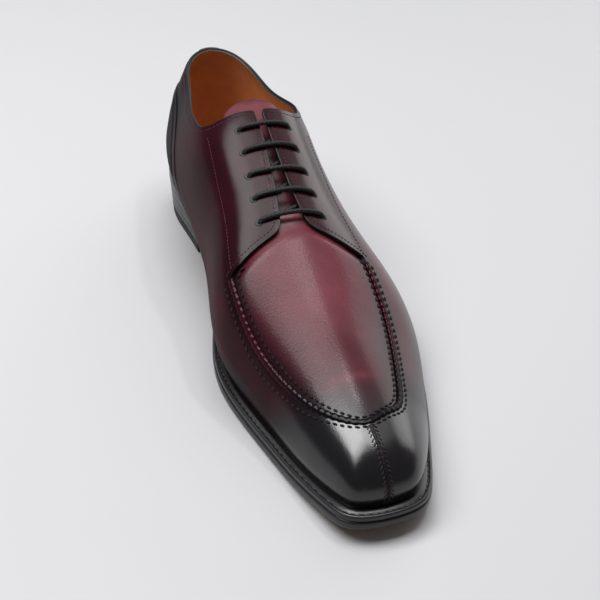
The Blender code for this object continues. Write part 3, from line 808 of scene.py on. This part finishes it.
def lacingAxis(y):
    v = lacingValues
    share = (np.asarray(y, float) - v["throatY"]) / (v["collarY"] - v["throatY"])
    return -v["drift"] * np.clip(share, 0, 1)


def slotOutline():
    v = lacingValues
    foot, top = v["slotFoot"] / 2, v["slotTop"] / 2
    throat, collar = v["throatY"], v["collarY"]
    side = [
        (top, collar + 12),
        (top + 0.2, collar - 20),
        (foot - 1.5, 2.0),
        (foot, throat + 9),
        (foot + 0.9, throat + 3),
        (foot + 1.6, throat - 6),
    ]
    line = side + [(-x, y) for x, y in side[::-1]]
    return [(x + float(lacingAxis(y)), y) for x, y in line]


def collarOutline():
    v = collarValues
    front, dip, back = v["frontY"], v["dip"], v["back"]
    knots = [
        (front, dip + 14.5),
        (front + 5, dip + 10.5),
        (front + 17, dip + 6.5),
        (front + 38, dip + 1.5),
        (front + 60, dip),
        (front + 80, dip + 2.5),
        (front + 96, back),
        (front + 112, back + 1.0),
    ]
    line = curveOf(knots)
    ys = np.linspace(knots[0][0], knots[-1][0], 60)
    high = shoe["instepHeight"] + 30
    outlinePoints = [(front - 2.0, high), (front - 1.5, dip + 18)]
    outlinePoints += [(float(y), float(line(y))) for y in ys]
    outlinePoints.append((knots[-1][0], high))
    return outlinePoints


apronLine = planLine(apronValues["line"], 12)
apronPolygon = apronLine + planLine(apronValues["facingEdge"], 8)[::-1][1:-1]
x, y, z = skin[:, :, 0], skin[:, :, 1], skin[:, :, 2]
footZ = weltTop(y)
upperPart = z > footZ + 7.0
apronInside = np.where(upperPart, polygonDistance(x, y, apronPolygon), -60.0)
slotInside = np.where(upperPart, polygonDistance(x, y, slotOutline()), -60.0)
collarInside = polygonDistance(y, z, collarOutline())
# the facings end in open curls: the slot runs out over the apron with rounded corners
blend = 5.0
merge = np.maximum(blend - np.abs(apronInside - slotInside), 0) / blend
openTop = np.maximum(apronInside, slotInside) + merge**2 * blend / 4
wallKeep = np.minimum(-openTop, -collarInside)
cornerY = placeY(0.407) - 0.5
print("seam lines worked out")

# ---- burnish and painted shade: how much dark polish lies on the leather, 0 to 1, with painted shade added on the medial walls

burnishValues = {
    "wall": 0.31,
    "toe": 0.97,
    "seam": 0.85,
    "welt": 0.92,
    "facing": 0.6,
    "apron": 0.13,
    "counter": 0.86,
}


def burnishAndShadeOf(points, kind, edgeD):
    v = burnishValues
    px, py, pz = points[..., 0], points[..., 1], points[..., 2]
    up = pz - weltTop(py)
    sewn = lineDistance(px, py, apronLine) + 3.0 * (up < 8)
    toe = smoothStep(-74, -114, py)
    if kind == "apron":
        value = np.full(px.shape, v["apron"])
        value += 0.08 * smoothStep(14, 32, np.abs(px))
        value += 0.34 * smoothStep(-88, -114, py) + 0.17 * smoothStep(-50, -80, py)
        value = value + (v["seam"] - value) * np.exp(-sewn / 2.2)
        value = value + (v["seam"] - value) * 0.4 * np.exp(-(sewn**2) / 60.0)
        # a paler band where the toe puff ends and the polish cracks a little
        band = np.exp(-(((py + 96 + 0.05 * px) / 2.2) ** 2)) * np.exp(-((px / 15) ** 2))
        value -= 0.2 * band
        return np.clip(value, 0, 1)
    # painted shade: the medial side is made darker, for the shade and dark reflection of the other shoe
    # beside it
    value = v["wall"] + 0.13 * smoothStep(5, 30, px)
    # the facings are greyer, the quarter behind them a clear dark red
    facing = smoothStep(-30, -20, py) * (1 - smoothStep(34, 40, np.abs(px - lacingAxis(py))))
    value = value + (v["facing"] - value) * facing * 0.8
    value = value + (v["welt"] - value) * (1 - smoothStep(1, 25, up)) * 0.92
    value = value + (v["toe"] - value) * toe
    value = value + (v["seam"] - value) * np.exp(-sewn / 2.2) * 0.8
    value = value + (0.78 - value) * np.exp(-np.maximum(edgeD, 0) / 1.8) * 0.6
    value = value + (v["counter"] - value) * smoothStep(62, 120, py) * 0.9
    if kind == "counter":
        value = np.maximum(value, v["counter"] - 0.06 * smoothStep(20, 50, up))
    return np.clip(value, 0, 1)


def addLayer(obj, name, values):
    layer = obj.data.attributes.new(name, "FLOAT", "POINT")
    layer.data.foreach_set("value", np.asarray(values, np.float32))


def mirrorOf(points):
    # how thick the polishing wax lies, 0 to 1: most on the toe, some on the lateral side
    lateral = smoothStep(-2, -16, points[..., 0] - lacingAxis(points[..., 1]))
    return np.maximum(smoothStep(-78, -112, points[..., 1]), 0.65 * lateral)


def leatherPanel(name, offset, keep, kind, thick, materials):
    # a cut panel of leather, offset from the last's surface, with its own thickness
    grid = skin + skinNormal * (offset if np.ndim(offset) == 0 else offset[:, :, None])
    points, faces, edgeD = clipGrid(grid, keep, wallKeep)
    obj = makeObject(name, (points, faces), materials)
    addLayer(obj, "burnish", burnishAndShadeOf(points, kind, edgeD))
    addLayer(obj, "mirror", mirrorOf(points) * (0.15 if kind == "apron" else 1.0))
    cleanMesh(obj, 0.06)
    faceOutwards(obj)
    solid = obj.modifiers.new("thickness", "SOLIDIFY")
    solid.thickness = thick * 0.001
    solid.offset = -1.0
    solid.use_rim = True
    solid.material_offset = 1
    solid.material_offset_rim = 2
    return obj


# walls, quarters and facings are one leather from toe to heel
wallLayers = [calfUpper, tanLining, blackEdge]
quarters = leatherPanel("quarters", 0.0, wallKeep, "wall", shoe["wall"], wallLayers)
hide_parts("upper")

# the apron runs under the seam and under the facings
apronKeep = apronInside + 1.2 + 6.0 * smoothStep(cornerY - 2, cornerY + 3, y)
apronKeep = np.minimum(apronKeep, -(y - 2.0))
facingLine = planLine(apronValues["facingEdge"], 8)[::-1]
behind = y - np.interp(x, [p[0] for p in facingLine], [p[1] for p in facingLine])
apronSunk = apronValues["sunk"] + apronValues["tuck"] * smoothStep(-6.0, 0.5, behind) * (y > -40)
apronLayers = [calfApron, tanLining, blackEdge]
leatherPanel("apron", -apronSunk, apronKeep, "apron", apronValues["thick"], apronLayers)
print("leather panels cut")

# ---- raised seams

seamValues = {
    "apronRidge": 1.75,  # half width
    "apronRidgeHeight": 0.8,
    "splitRidge": 0.95,  # half width
    "splitSquash": 0.8,
    "splitPitch": 2.6,
    "sink": 0.15,
    "swell": 0.10,  # how far the ridges bulge between two stitches
    "stitchPitch": 3.5,
    "rowOffset": 2.6,  # each stitch row from the ridge
}


def isApronPart(p):
    return p[1] < cornerY


ridgeLine = traceLevel(skin, apronInside, 0.0, isApronPart)[0]
ridgePoints, ridgeNormals = resample(*ridgeLine, 0.55, smooth=6)
phase = np.arange(len(ridgePoints)) * 0.55 / seamValues["stitchPitch"]
ridge = tubeAlong(
    ridgePoints - ridgeNormals * seamValues["sink"],
    ridgeNormals,
    seamValues["apronRidge"],
    squash=seamValues["apronRidgeHeight"] / seamValues["apronRidge"],
    swell=1.0 + seamValues["swell"] * np.cos(2 * math.pi * phase),
)
apronRidge = makeObject("apronRidge", ridge, [calfUpper])
addLayer(apronRidge, "burnish", 0.5 + 0.42 * smoothStep(-60, -112, ridge[0][:, 1]))

# the split toe seam runs down the middle of the toe cap
toeFree = apronInside[0] < 0.5
splitPoints, splitNormals = resample(skin[0][toeFree], skinNormal[0][toeFree], 0.5, smooth=2)
phase = np.arange(len(splitPoints)) * 0.5 / seamValues["splitPitch"]
split = tubeAlong(
    splitPoints - splitNormals * seamValues["sink"],
    splitNormals,
    seamValues["splitRidge"],
    squash=seamValues["splitSquash"],
    swell=1.0 + seamValues["swell"] * np.cos(2 * math.pi * phase),
)
splitRidge = makeObject("splitRidge", split, [calfSeam])
addLayer(splitRidge, "burnish", np.full(len(split[0]), 0.9))

apronStitch = {"pitch": 3.5, "length": 2.7, "width": 1.3, "lift": 0.12, "slant": 10.0}
toeStitch = {"pitch": 2.1, "length": 2.4, "width": 0.75, "lift": 0.12, "slant": 38.0, "row": 1.7}
rows = []
for level in (-seamValues["rowOffset"], seamValues["rowOffset"]):
    line = traceLevel(skin, apronInside, level, isApronPart)[0]
    sink = apronValues["sunk"] if level > 0 else 0.0
    p, n = resample(*line, 1.0, smooth=4)
    rows.append((p - n * sink, n, apronStitch))
sew("apronStitches", rows, darkThread)

rows = []
for sideOf in (1, -1):
    # the row lies on the toe's surface beside the ridge
    near = slice(1, 24) if sideOf > 0 else slice(None, -24, -1)
    side, sideNormal = skin[near], skinNormal[near]
    row, rowNormal = [], []
    for r in range(skin.shape[1]):
        xs = np.abs(side[:, r, 0])
        if not toeFree[r] or xs.max() < toeStitch["row"]:
            break
        row.append([np.interp(toeStitch["row"], xs, side[:, r, k]) for k in range(3)])
        rowNormal.append([np.interp(toeStitch["row"], xs, sideNormal[:, r, k]) for k in range(3)])
    p, n = resample(np.array(row[3:]), np.array(rowNormal[3:]), 0.8, smooth=2)
    rows.append((p, n, dict(toeStitch, slant=toeStitch["slant"] * sideOf)))
sew("toeStitches", rows, toeThread)
print("raised seams sewn")

# ---- edges and stitching of the facings, collar and quarter

# the folded edge is a little fuller along the topline
foldValues = {"radius": 0.42, "inset": 0.35, "toplineInset": 0.3, "toplineSwell": 0.35}
edgeStitch = {"pitch": 2.1, "length": 1.7, "width": 0.5, "lift": 0.08}


def isFacingPart(p):
    return p[1] > cornerY + 2


def isStayPart(p):
    return cornerY + 2.5 < p[1] < 45.5 and p[2] > 45


def stitchLines(points, values, level, keep, smooth=2):
    # rows of fine edge stitches where values equal level
    lines = traceLevel(points, values, level, keep)
    return [(*resample(*line, 1.0, smooth), edgeStitch) for line in lines]


parts = []
for line, normals in traceLevel(skin, wallKeep, 0.0, isFacingPart):
    p, n = resample(line, normals, 0.8, smooth=2)
    topline = smoothStep(43, 49, p[:, 1])
    inset = foldValues["inset"] + foldValues["toplineInset"] * topline
    swell = 1 + foldValues["toplineSwell"] * topline
    parts.append(tubeAlong(p - n * inset[:, None], n, foldValues["radius"], 8, swell=swell))
makeObject("foldedEdges", joinParts(parts), [blackEdge])

# the line that holds the eyelet stay, about 30 mm out from the lacing
stayHalf = curveThrough([-27, -18, -4, 20, 46], [34.5, 33.0, 30.5, 28.5, 27.0])
stay = np.abs(x - lacingAxis(y)) - stayHalf(y)
rows = stitchLines(skin, wallKeep, 2.2, isFacingPart)
rows += stitchLines(skin, stay, 0.0, isStayPart, smooth=4)
sew("facingStitches", rows, wineThread)

# ---- heel counter, laid over the quarters

counterValues = {
    "edge": [(0.590, 0.05), (0.640, 0.27), (0.720, 0.46), (0.820, 0.60), (0.920, 0.67), (1.060, 0.70)],
    "step": 0.95,
    "rows": (1.7, 3.6),
    "stripHalf": 5.5,  # the strip over the back seam
    "stripThick": 0.9,
}
edgeRows = counterValues["edge"]
edgeCurve = curveOf(edgeRows)
counterLine = []
for w in np.linspace(edgeRows[0][0], edgeRows[-1][0], 60):
    counterLine.append((placeY(float(w)), float(edgeCurve(w)) * shoe["instepHeight"]))
counterPolygon = counterLine + [(counterLine[-1][0], -10.0), (counterLine[0][0], -10.0)]
counterInside = polygonDistance(y, z, counterPolygon)
counterStep = counterValues["step"]
counterLayers = [calfCounter, calfCounter, blackEdge]
leatherPanel("heelCounter", counterStep, counterInside, "counter", counterStep + 0.3, counterLayers)


def isAboveWelt(p):
    return p[2] > float(weltTop(p[1])) + 2.5


lifted = skin + skinNormal * counterStep
rows = []
for level in counterValues["rows"]:
    rows += stitchLines(lifted, counterInside, level, isAboveWelt)
sew("counterStitches", rows, darkThread)

# a narrow strip covers the back seam above the counter
backStrip = np.where(y > 120, counterValues["stripHalf"] - np.abs(x + 0.046 * shoe["ballWidth"]), -10.0)
backStrip = np.minimum(backStrip, np.minimum(-collarInside - 0.3, z - 66.0))
leatherPanel("backStrip", 0.7, backStrip, "counter", counterValues["stripThick"], counterLayers)
print("counter laid on")

# ---- tongue

tongueValues = {
    "thick": 1.8,
    "width": 50.0,
    "tipWidth": 37.0,
    "tipY": 61.0,
    "rootY": -26.0,
    "creaseDepth": 0.35,
}
strips = {}
for sideSign in (1.0, -1.0):
    turns = np.linspace(float(turnOf(0.28)), float(turnOf(0.78)), 70)
    strips[sideSign] = [lastColumn(float(t), sideSign, 60)[::-1] for t in turns]


def skinHeight(px, py):
    chosen = strips[1.0 if px >= 0 else -1.0]
    ys = [np.interp(abs(px), np.abs(s[:, 0]), s[:, 1]) for s in chosen]
    zs = [np.interp(abs(px), np.abs(s[:, 0]), s[:, 2]) for s in chosen]
    return float(np.interp(py, ys, zs))


def slopeAt(px, py, step):
    # how steeply the leather rises along and across the foot
    along = (skinHeight(px, py + step) - skinHeight(px, py - step)) / (2 * step)
    across = (skinHeight(px + step, py) - skinHeight(px - step, py)) / (2 * step)
    return along, across


def surfaceHeight(px, py, offset=0.0):
    height = skinHeight(px, py)
    if not offset:
        return height
    along, across = slopeAt(px, py, 2.0)
    return height + offset * math.sqrt(1 + along**2 + across**2)


def tongueHalf(py):
    v = tongueValues
    front = collarValues["frontY"]
    knots = [
        (v["rootY"], 0.70 * v["width"] / 2),
        (v["rootY"] + 12, 0.92 * v["width"] / 2),
        (front - 34, v["width"] / 2),
        (front - 4, v["tipWidth"] / 2),
    ]
    plain = float(curveOf(knots)(py))
    start = knots[-1][0]
    if py <= start:
        return plain
    w = min((py - start) / (v["tipY"] - start), 0.99)
    return plain * (1 - w**3) ** 0.5


def buildTongue():
    v = tongueValues
    drop = -(lacingValues["facingThick"] + lacingValues["laceDiameter"] + 0.9)
    ys = list(np.linspace(v["rootY"], 44, 36))
    ys += [44 + (v["tipY"] - 44) * w for w in (0.15, 0.3, 0.45, 0.58, 0.7, 0.8, 0.88, 0.94, 0.98, 1.0)]
    across = np.linspace(-1, 1, 37)
    top, low = [], []
    for py in ys:
        half = tongueHalf(py)
        axis = float(lacingAxis(py))
        for w in across:
            px = axis + half * w
            pz = surfaceHeight(px, py, drop)
            # soft folds where the tongue bends forward over the instep
            fold = math.sin((py - 6) / 5.2 + 0.6 * math.sin(w * 2.2)) * smoothStep(20, 40, py)
            pz += v["creaseDepth"] * float(fold) * (1 - abs(w) ** 3)
            edgeLift = 0.9 * (1 - (1 - min((1 - abs(w)) * half / 1.0, 1.0)) ** 2) ** 0.5
            top.append((px, py, pz - 0.9 + edgeLift))
            low.append((px, py, pz - 0.9 - edgeLift))
    rows, cols = len(ys), len(across)
    points = np.array(top + low)
    under = rows * cols
    faces = []
    for r in range(rows - 1):
        for c in range(cols - 1):
            a = r * cols + c
            faces.append((a, a + 1, a + cols + 1, a + cols))
            faces.append((under + a, under + a + cols, under + a + cols + 1, under + a + 1))
    for c in range(cols - 1):
        a = (rows - 1) * cols + c
        faces.append((c, under + c, under + c + 1, c + 1))
        faces.append((a, a + 1, under + a + 1, under + a))
    for r in range(rows - 1):
        a, b = r * cols, r * cols + cols - 1
        faces.append((a, a + cols, under + a + cols, under + a))
        faces.append((b, under + b, under + b + cols, b + cols))
    obj = makeObject("tongueLeather", (points, faces), [calfTongue])
    value = 0.16 + 0.28 * smoothStep(40, 30, points[:, 1]) + 0.2 * smoothStep(56, 61, points[:, 1])
    addLayer(obj, "burnish", value)
    cleanMesh(obj, 0.01)
    return obj


tongue = buildTongue()
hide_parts("tongue")
print("tongue made")

# ---- laces through punched holes

laceValues = {"diameter": lacingValues["laceDiameter"], "sides": 14, "braidMm": 2.2, "step": 0.7}


def eyeletPlaces():
    v = lacingValues
    pairs = []
    for w in np.linspace(0, 1, v["pairs"]):
        py = v["firstY"] + (v["lastY"] - v["firstY"]) * w
        reachNow = v["reachFoot"] + (v["reachTop"] - v["reachFoot"]) * w
        axis = float(lacingAxis(py))
        pairs.append([(axis + reachNow, float(py)), (axis - reachNow, float(py))])
    return pairs


def lacePath():
    over = laceValues["diameter"] / 2 + 0.15
    below = -(lacingValues["facingThick"] + laceValues["diameter"] / 2 + 0.3)
    path = []

    def passHole(px, py, shares):
        height = surfaceHeight(px, py)
        path.extend((px, py, height + below - 0.5 + w * (over - 0.4 - below)) for w in shares)

    pairs = eyeletPlaces()
    for k, (medial, lateral) in enumerate(pairs):
        py = medial[1]
        x0 = lateral[0]
        span = medial[0] - lateral[0]
        sway = 0.5 * math.sin(k * 2.1 + 0.7)
        passHole(x0, py, (0.0, 0.35, 0.7))
        for w in np.linspace(0.04, 0.96, 15):
            px = x0 + span * w
            bow = sway * math.sin(math.pi * w)
            lift = 0.45 * math.sin(math.pi * w) ** 0.5
            path.append((px, py + bow, surfaceHeight(px, py + bow, over) + lift - 0.25))
        passHole(medial[0], py, (0.7, 0.35, 0.0))
        if k + 1 < len(pairs):
            end = pairs[k + 1][1]
            for w in np.linspace(0.1, 0.9, 9):
                px = medial[0] + (end[0] - medial[0]) * w
                yy = py + (end[1] - py) * w
                path.append((px, yy, surfaceHeight(px, yy, below) - 0.1))
    return np.array(path)


def smoothPath(path, pitch):
    # rounds the corners by averaging an even resampling
    run = lengthsAlong(path)
    line = pointsAt(path, run, np.arange(0, run[-1], pitch))
    for _ in range(5):
        line[1:-1] = (line[:-2] + 2 * line[1:-1] + line[2:]) / 4
    return line


def waxedCord():
    # round waxed cotton lace: black, braided, the braid drawn a little coarse so that it shows
    values = {"Roughness": 0.6, "IOR": 1.5, "Specular IOR Level": 0.35}
    material, tree, shader = newMaterial("waxedCottonLace", values)
    uv = addNode(tree, "ShaderNodeTexCoord")
    split = addNode(tree, "ShaderNodeSeparateXYZ", links={"Vector": uv.outputs["UV"]})
    turn = 2 * math.pi
    waves = []
    for sign in (1.0, -1.0):
        turned = mathOf(tree, "MULTIPLY", {1: sign * turn * 3}, {0: split.outputs["X"]})
        scale = {1: turn / laceValues["braidMm"]}
        along = mathOf(tree, "MULTIPLY_ADD", scale, {0: split.outputs["Y"], 2: turned})
        waves.append(mathOf(tree, "SINE", None, {0: along}))
    both = mathOf(tree, "MAXIMUM", None, {0: waves[0], 1: waves[1]})
    scaled = rangeOf(tree, both, -0.5, 1.0)
    ramp = rampOf(tree, scaled, [(0.0, "#060608"), (1.0, "#1a191d")])
    tree.links.new(ramp.outputs["Color"], shader.inputs["Base Color"])
    bumpOf(tree, shader, scaled, 0.5, 0.00025)
    return material


def buildLaces():
    line = smoothPath(lacePath(), laceValues["step"])
    sides = laceValues["sides"]
    lead = np.array([0.0, 1.0, 0.0])
    leads = []
    for way in unit(np.gradient(line, axis=0)):
        lead = unit(lead - way * np.dot(lead, way))
        leads.append(lead)
    cord = tubeAlong(line, np.array(leads), laceValues["diameter"] / 2, sides)
    obj = makeObject("laceCord", cord, [waxedCord()])
    uvLayer = obj.data.uv_layers.new(name="lace")
    for polygon in obj.data.polygons:
        # the last face of each ring closes the turn
        closing = polygon.index < (len(line) - 1) * sides and polygon.index % sides == sides - 1
        for slot in polygon.loop_indices:
            ring, place = divmod(obj.data.loops[slot].vertex_index, sides)
            u = 1.0 if closing and place == 0 else place / sides
            uvLayer.data[slot].uv = (u, ring * laceValues["step"])
    return obj


laces = buildLaces()
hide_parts("laces")


eyeletValues = {
    "sides": 20,
    # radius and height of each ring, from the hole outwards
    "profile": [(0.5, 0.02), (1.1, 0.04), (1.4, 0.14), (1.7, 0.1), (1.95, -0.06)],
}


def buildEyelets():
    # punched holes: a dark pressed rim round each lace
    sides, profile = eyeletValues["sides"], eyeletValues["profile"]
    parts = []
    for px, py in [place for pair in eyeletPlaces() for place in pair]:
        along, across = slopeAt(px, py, 1.5)
        normal = unit(np.array([-across, -along, 1.0]))
        first = unit(np.cross(normal, [0.0, 1.0, 0.0]))
        second = np.cross(normal, first)
        centre = np.array([px, py, skinHeight(px, py)]) + normal * 0.05
        vertices = []
        for radius, height in profile:
            for i in range(sides):
                a = 2 * math.pi * i / sides
                outward = math.cos(a) * first + math.sin(a) * second
                vertices.append(centre + radius * outward + normal * height)
        parts.append((vertices, ringFaces(len(profile), sides, caps=True)))
    obj = makeObject("eyeletRims", joinParts(parts), [blackEdge])
    cleanMesh(obj, 0.001)


buildEyelets()
print("laces run")

# ---- sole: outsole, welt, heel and insole

soleValues = {
    "columns": 220,
    "weltStep": 0.4,
    "stitchInset": 2.3,
    "lifts": 4,
    "heelBreast": 0.755,
    "taperBack": 3.5,
    "taperSide": 2.0,
    "topPiece": 6.0,
}
soleLoop = loopOf(soleValues["columns"])


def soleRing(inset, lift, fromFeather=False):
    ring = []
    for turn, side in soleLoop:
        px, py = featherPoint(turn, side, inset) if fromFeather else soleEdge(turn, side, inset)
        ring.append((px, py, float(treadHeight(py)) + lift))
    return ring


def soleRings(rows, fromFeather=False):
    return [soleRing(inset, lift, fromFeather) for inset, lift in rows]


def ringMesh(rings, closed=False):
    # rings round the whole sole, with caps of strips across it
    count, n = len(rings), len(rings[0])
    half = n // 2
    faces = ringFaces(count, n, closed)
    if not closed:
        for start in (0, (count - 1) * n):
            faces.append((start, start + n - 1, start + 1))
            for i in range(1, half):
                a, b = start + i, start + n - i
                c, d = start + i + 1, start + n - i - 1
                faces.append((a, b, d, c) if i + 1 < half else (a, b, start + half))
    return np.array([p for ring in rings for p in ring]), faces


# each row says how far in from the edge and how high over the tread the ring lies
thick = shoe["outsoleThick"]
outsoleRows = [
    (1.6, 0.0),
    (0.5, 0.12),
    (0.1, 0.7),
    (0.0, 1.6),
    (0.0, thick - 1.3),
    (0.15, thick - 0.5),
    (0.9, thick),
    (5.0, thick),
]
outsoleShape = ringMesh(soleRings(outsoleRows))
outsole = makeObject("outsoleLeather", outsoleShape, [soleEdgeBlack, soleBottom])
cleanMesh(outsole, 0.001, 60)
for polygon in outsole.data.polygons:
    # only the tread is left tan, the rounded rim is dyed with the edge
    spots = [outsole.data.vertices[i].co * 1000 for i in polygon.vertices]
    tread = all(abs(spot.z - float(treadHeight(spot.y))) < 0.03 for spot in spots)
    polygon.material_index = 1 if tread else 0
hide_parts("outsole")

weltLow = thick + 0.05
weltHigh = thick + shoe["weltThick"] + shoe["clear"]
ledge, groove = soleValues["weltStep"], soleValues["stitchInset"]
weltRows = [
    (ledge + 0.5, weltLow),
    (ledge + 0.05, weltLow + 0.35),
    (ledge, weltLow + 1.0),
    (ledge, weltHigh - 1.0),
    (ledge + 0.12, weltHigh - 0.4),
    (ledge + 0.6, weltHigh - 0.05),
    (ledge + 1.2, weltHigh),
    (groove - 0.55, weltHigh),
    (groove - 0.3, weltHigh - 0.4),
    (groove + 0.3, weltHigh - 0.4),
    (groove + 0.55, weltHigh),
]
innerRows = [(0.6, weltHigh), (4.0, weltHigh), (4.0, weltLow)]
weltShape = ringMesh(soleRings(weltRows) + soleRings(innerRows, True), closed=True)
welt = makeObject("weltLeather", weltShape, [soleEdgeBlack])
cleanMesh(welt, 0.001)
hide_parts("welt")

# welt stitches run from heel breast to heel breast round the toe
weltLine = np.array(soleRing(groove, weltHigh - 0.25))
weltUp = np.tile([0.0, 0.0, 1.0], (len(weltLine), 1))
back = int(soleValues["columns"] * float(turnOf(0.74)))
order = list(range(len(weltLine) - back, len(weltLine))) + list(range(back + 1))
weltStitch = {"pitch": 3.6, "length": 3.0, "width": 0.8, "lift": 0.1}
sew("weltStitches", [(weltLine[order], weltUp[order], weltStitch)], weltThread)


def heelRing(level, taper, inset=0.0):
    ring = []
    v = soleValues
    first = float(turnOf(v["heelBreast"]))
    turns = np.linspace(first, 1.0, 60)
    walk = [(t, 1.0) for t in turns] + [(t, -1.0) for t in turns[-2::-1]]
    backY, frontY = placeY(1.0), placeY(v["heelBreast"])
    for turn, side in walk:
        px, py = soleEdge(turn, side, v["taperSide"] * taper * 0.5 + inset)
        px *= 1 - v["taperSide"] * taper * 0.5 / 30
        py = frontY + (py - frontY) * (1 - v["taperBack"] * taper / (backY - frontY))
        ring.append([px, max(py, frontY + inset)])
    a, b = np.array(ring[-1]), np.array(ring[0])
    for w in np.linspace(0, 1, 22)[1:-1]:
        p = a + (b - a) * w
        ring.append([p[0], p[1] + 12 * w * (1 - w)])
    out = []
    for px, py in ring:
        pz = float(treadHeight(py)) - 0.05 if level is None else level
        out.append((px, py, pz))
    return out


def capMesh(rings):
    faces = ringFaces(len(rings), len(rings[0]), caps=True)
    return np.array([p for ring in rings for p in ring]), faces


bottom = soleValues["topPiece"] + 0.1
liftHigh = (shoe["heelRise"] - 0.4 - bottom) / soleValues["lifts"]
rings = []
for k in range(soleValues["lifts"]):
    last = k == soleValues["lifts"] - 1
    for share, inset in ((0.0, 0.22), (0.08, 0.05), (0.2, 0.0), (0.8, 0.0), (0.92, 0.05), (1.0, 0.22)):
        height = bottom + k * liftHigh + share * liftHigh
        taper = 1 - height / shoe["heelRise"]
        # the last lift ends against the outsole
        level = None if last and share == 1.0 else height
        if last and share in (0.8, 0.92):
            level = height - 1.2
        rings.append(heelRing(level, taper, inset))
heel = makeObject("heelLifts", capMesh(rings), [soleEdgeBlack])
cleanMesh(heel, 0.001, 45)
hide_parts("heel_stack")

rings = []
for height, inset in ((0.0, 0.7), (0.15, 0.25), (0.7, 0.0), (5.2, 0.0), (5.8, 0.08), (6.0, 0.3)):
    rings.append(heelRing(height, 1 - height / shoe["heelRise"], inset))
topPiece = makeObject("heelTopPiece", capMesh(rings), [heelRubber])
cleanMesh(topPiece, 0.001, 45)
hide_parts("top_piece")

sockRows = [
    (4.3, weltHigh - 3.0),
    (4.3, weltHigh + 0.3),
    (2.9, weltHigh + 0.3),
    (2.7, weltHigh + 1.4),
    (3.2, weltHigh + 2.0),
    (6.0, weltHigh + 2.15),
]
insole = makeObject("sockLining", ringMesh(soleRings(sockRows, True)), [tanSock])
cleanMesh(insole, 0.001)
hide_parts("insole")
print("sole built")

# ---- floor, light and camera

stageValues = {"half": 4, "paper": "#b4b4b6", "fill": 0.16}
floorHalf = stageValues["half"]
floorMesh = bpy.data.meshes.new("floor")
corners = [(i * floorHalf, j * floorHalf, 0) for i, j in ((-1, -1), (1, -1), (1, 1), (-1, 1))]
floorMesh.from_pydata(corners, [], [(0, 1, 2, 3)])
floor = bpy.data.objects.new("floor", floorMesh)
bpy.context.scene.collection.objects.link(floor)
# matt pale grey paper sweep, white under this light
paper = newMaterial("palePaper", {"Base Color": linearOf(stageValues["paper"]), "Roughness": 0.6})[0]
floorMesh.materials.append(paper)

world = bpy.data.worlds.new("studio")
bpy.context.scene.world = world
world.use_nodes = True
background = world.node_tree.nodes["Background"]
background.inputs["Color"].default_value = (1, 1, 1, 1)
background.inputs["Strength"].default_value = stageValues["fill"]

lightValues = [
    # name, place, aim, width, height, watts
    ("overheadBox", (-0.43, 0.17, 1.25), (-0.43, 0.171, 0.0), 1.34, 0.70, 20.0),
    ("toeBox", (-0.60, 0.29, 1.24), (-0.60, 0.291, 0.0), 1.0, 0.40, 6.5),
    ("crownStrip", (0.33, 0.0, 1.24), (0.33, 0.001, 0.0), 0.08, 0.28, 2.6),
    ("sidePanel", (1.5, 0.95, 0.52), (0.0, -0.03, 0.06), 1.5, 1.0, 10.0),
    ("sweepFill", (0.9, 0.9, 2.2), (0.0, 0.1, 0.0), 2.2, 2.2, 14.0),
    ("frontStrip", (-0.33, -1.35, 0.07), (-0.02, -0.14, 0.03), 0.16, 0.03, 0.06),
]
for name, place, aim, width, height, watts in lightValues:
    data = bpy.data.lights.new(name, "AREA")
    data.shape = "RECTANGLE"
    data.size, data.size_y, data.energy = width, height, watts
    lamp = bpy.data.objects.new(name, data)
    lamp.location = place
    lamp.visible_camera = False
    lamp.rotation_euler = (Vector(aim) - Vector(place)).to_track_quat("-Z", "Y").to_euler()
    bpy.context.scene.collection.objects.link(lamp)

cameraValues = {
    "place": (-0.1896, -0.4841, 0.424),  # where the photograph was taken from
    "forward": (0.1974, 0.8013, -0.5647),
    "right": (0.971, -0.2392, 0.0),
    "rollDegrees": -1.34,
    "focalPixels": 761.6,
    "aimPixel": (383.0, 350.0),  # the shoe's middle in the photograph
    "zoom": 1.66,
}


def placeCamera():
    v = cameraValues
    forward = Vector(v["forward"]).normalized()
    right = Vector(v["right"]).normalized()
    up = right.cross(forward)
    roll = math.radians(v["rollDegrees"])
    r = right * math.cos(roll) + up * math.sin(roll)
    u = -right * math.sin(roll) + up * math.cos(roll)
    px, py = v["aimPixel"]
    aim = forward + r * ((px - 300) / v["focalPixels"]) - u * ((py - 300) / v["focalPixels"])
    aim.normalize()
    side = aim.cross(u).normalized()
    top = side.cross(aim)
    matrix = Matrix((side, top, -aim)).transposed().to_4x4()
    matrix.translation = Vector(v["place"])
    data = bpy.data.cameras.new("camera")
    data.sensor_width = 36.0
    data.lens = v["focalPixels"] * v["zoom"] * 36.0 / 600.0
    data.clip_start = 0.02
    camera = bpy.data.objects.new("camera", data)
    camera.matrix_world = matrix
    bpy.context.scene.collection.objects.link(camera)
    bpy.context.scene.camera = camera


placeCamera()
bpy.context.scene.view_settings.view_transform = "Standard"
print("stage set")
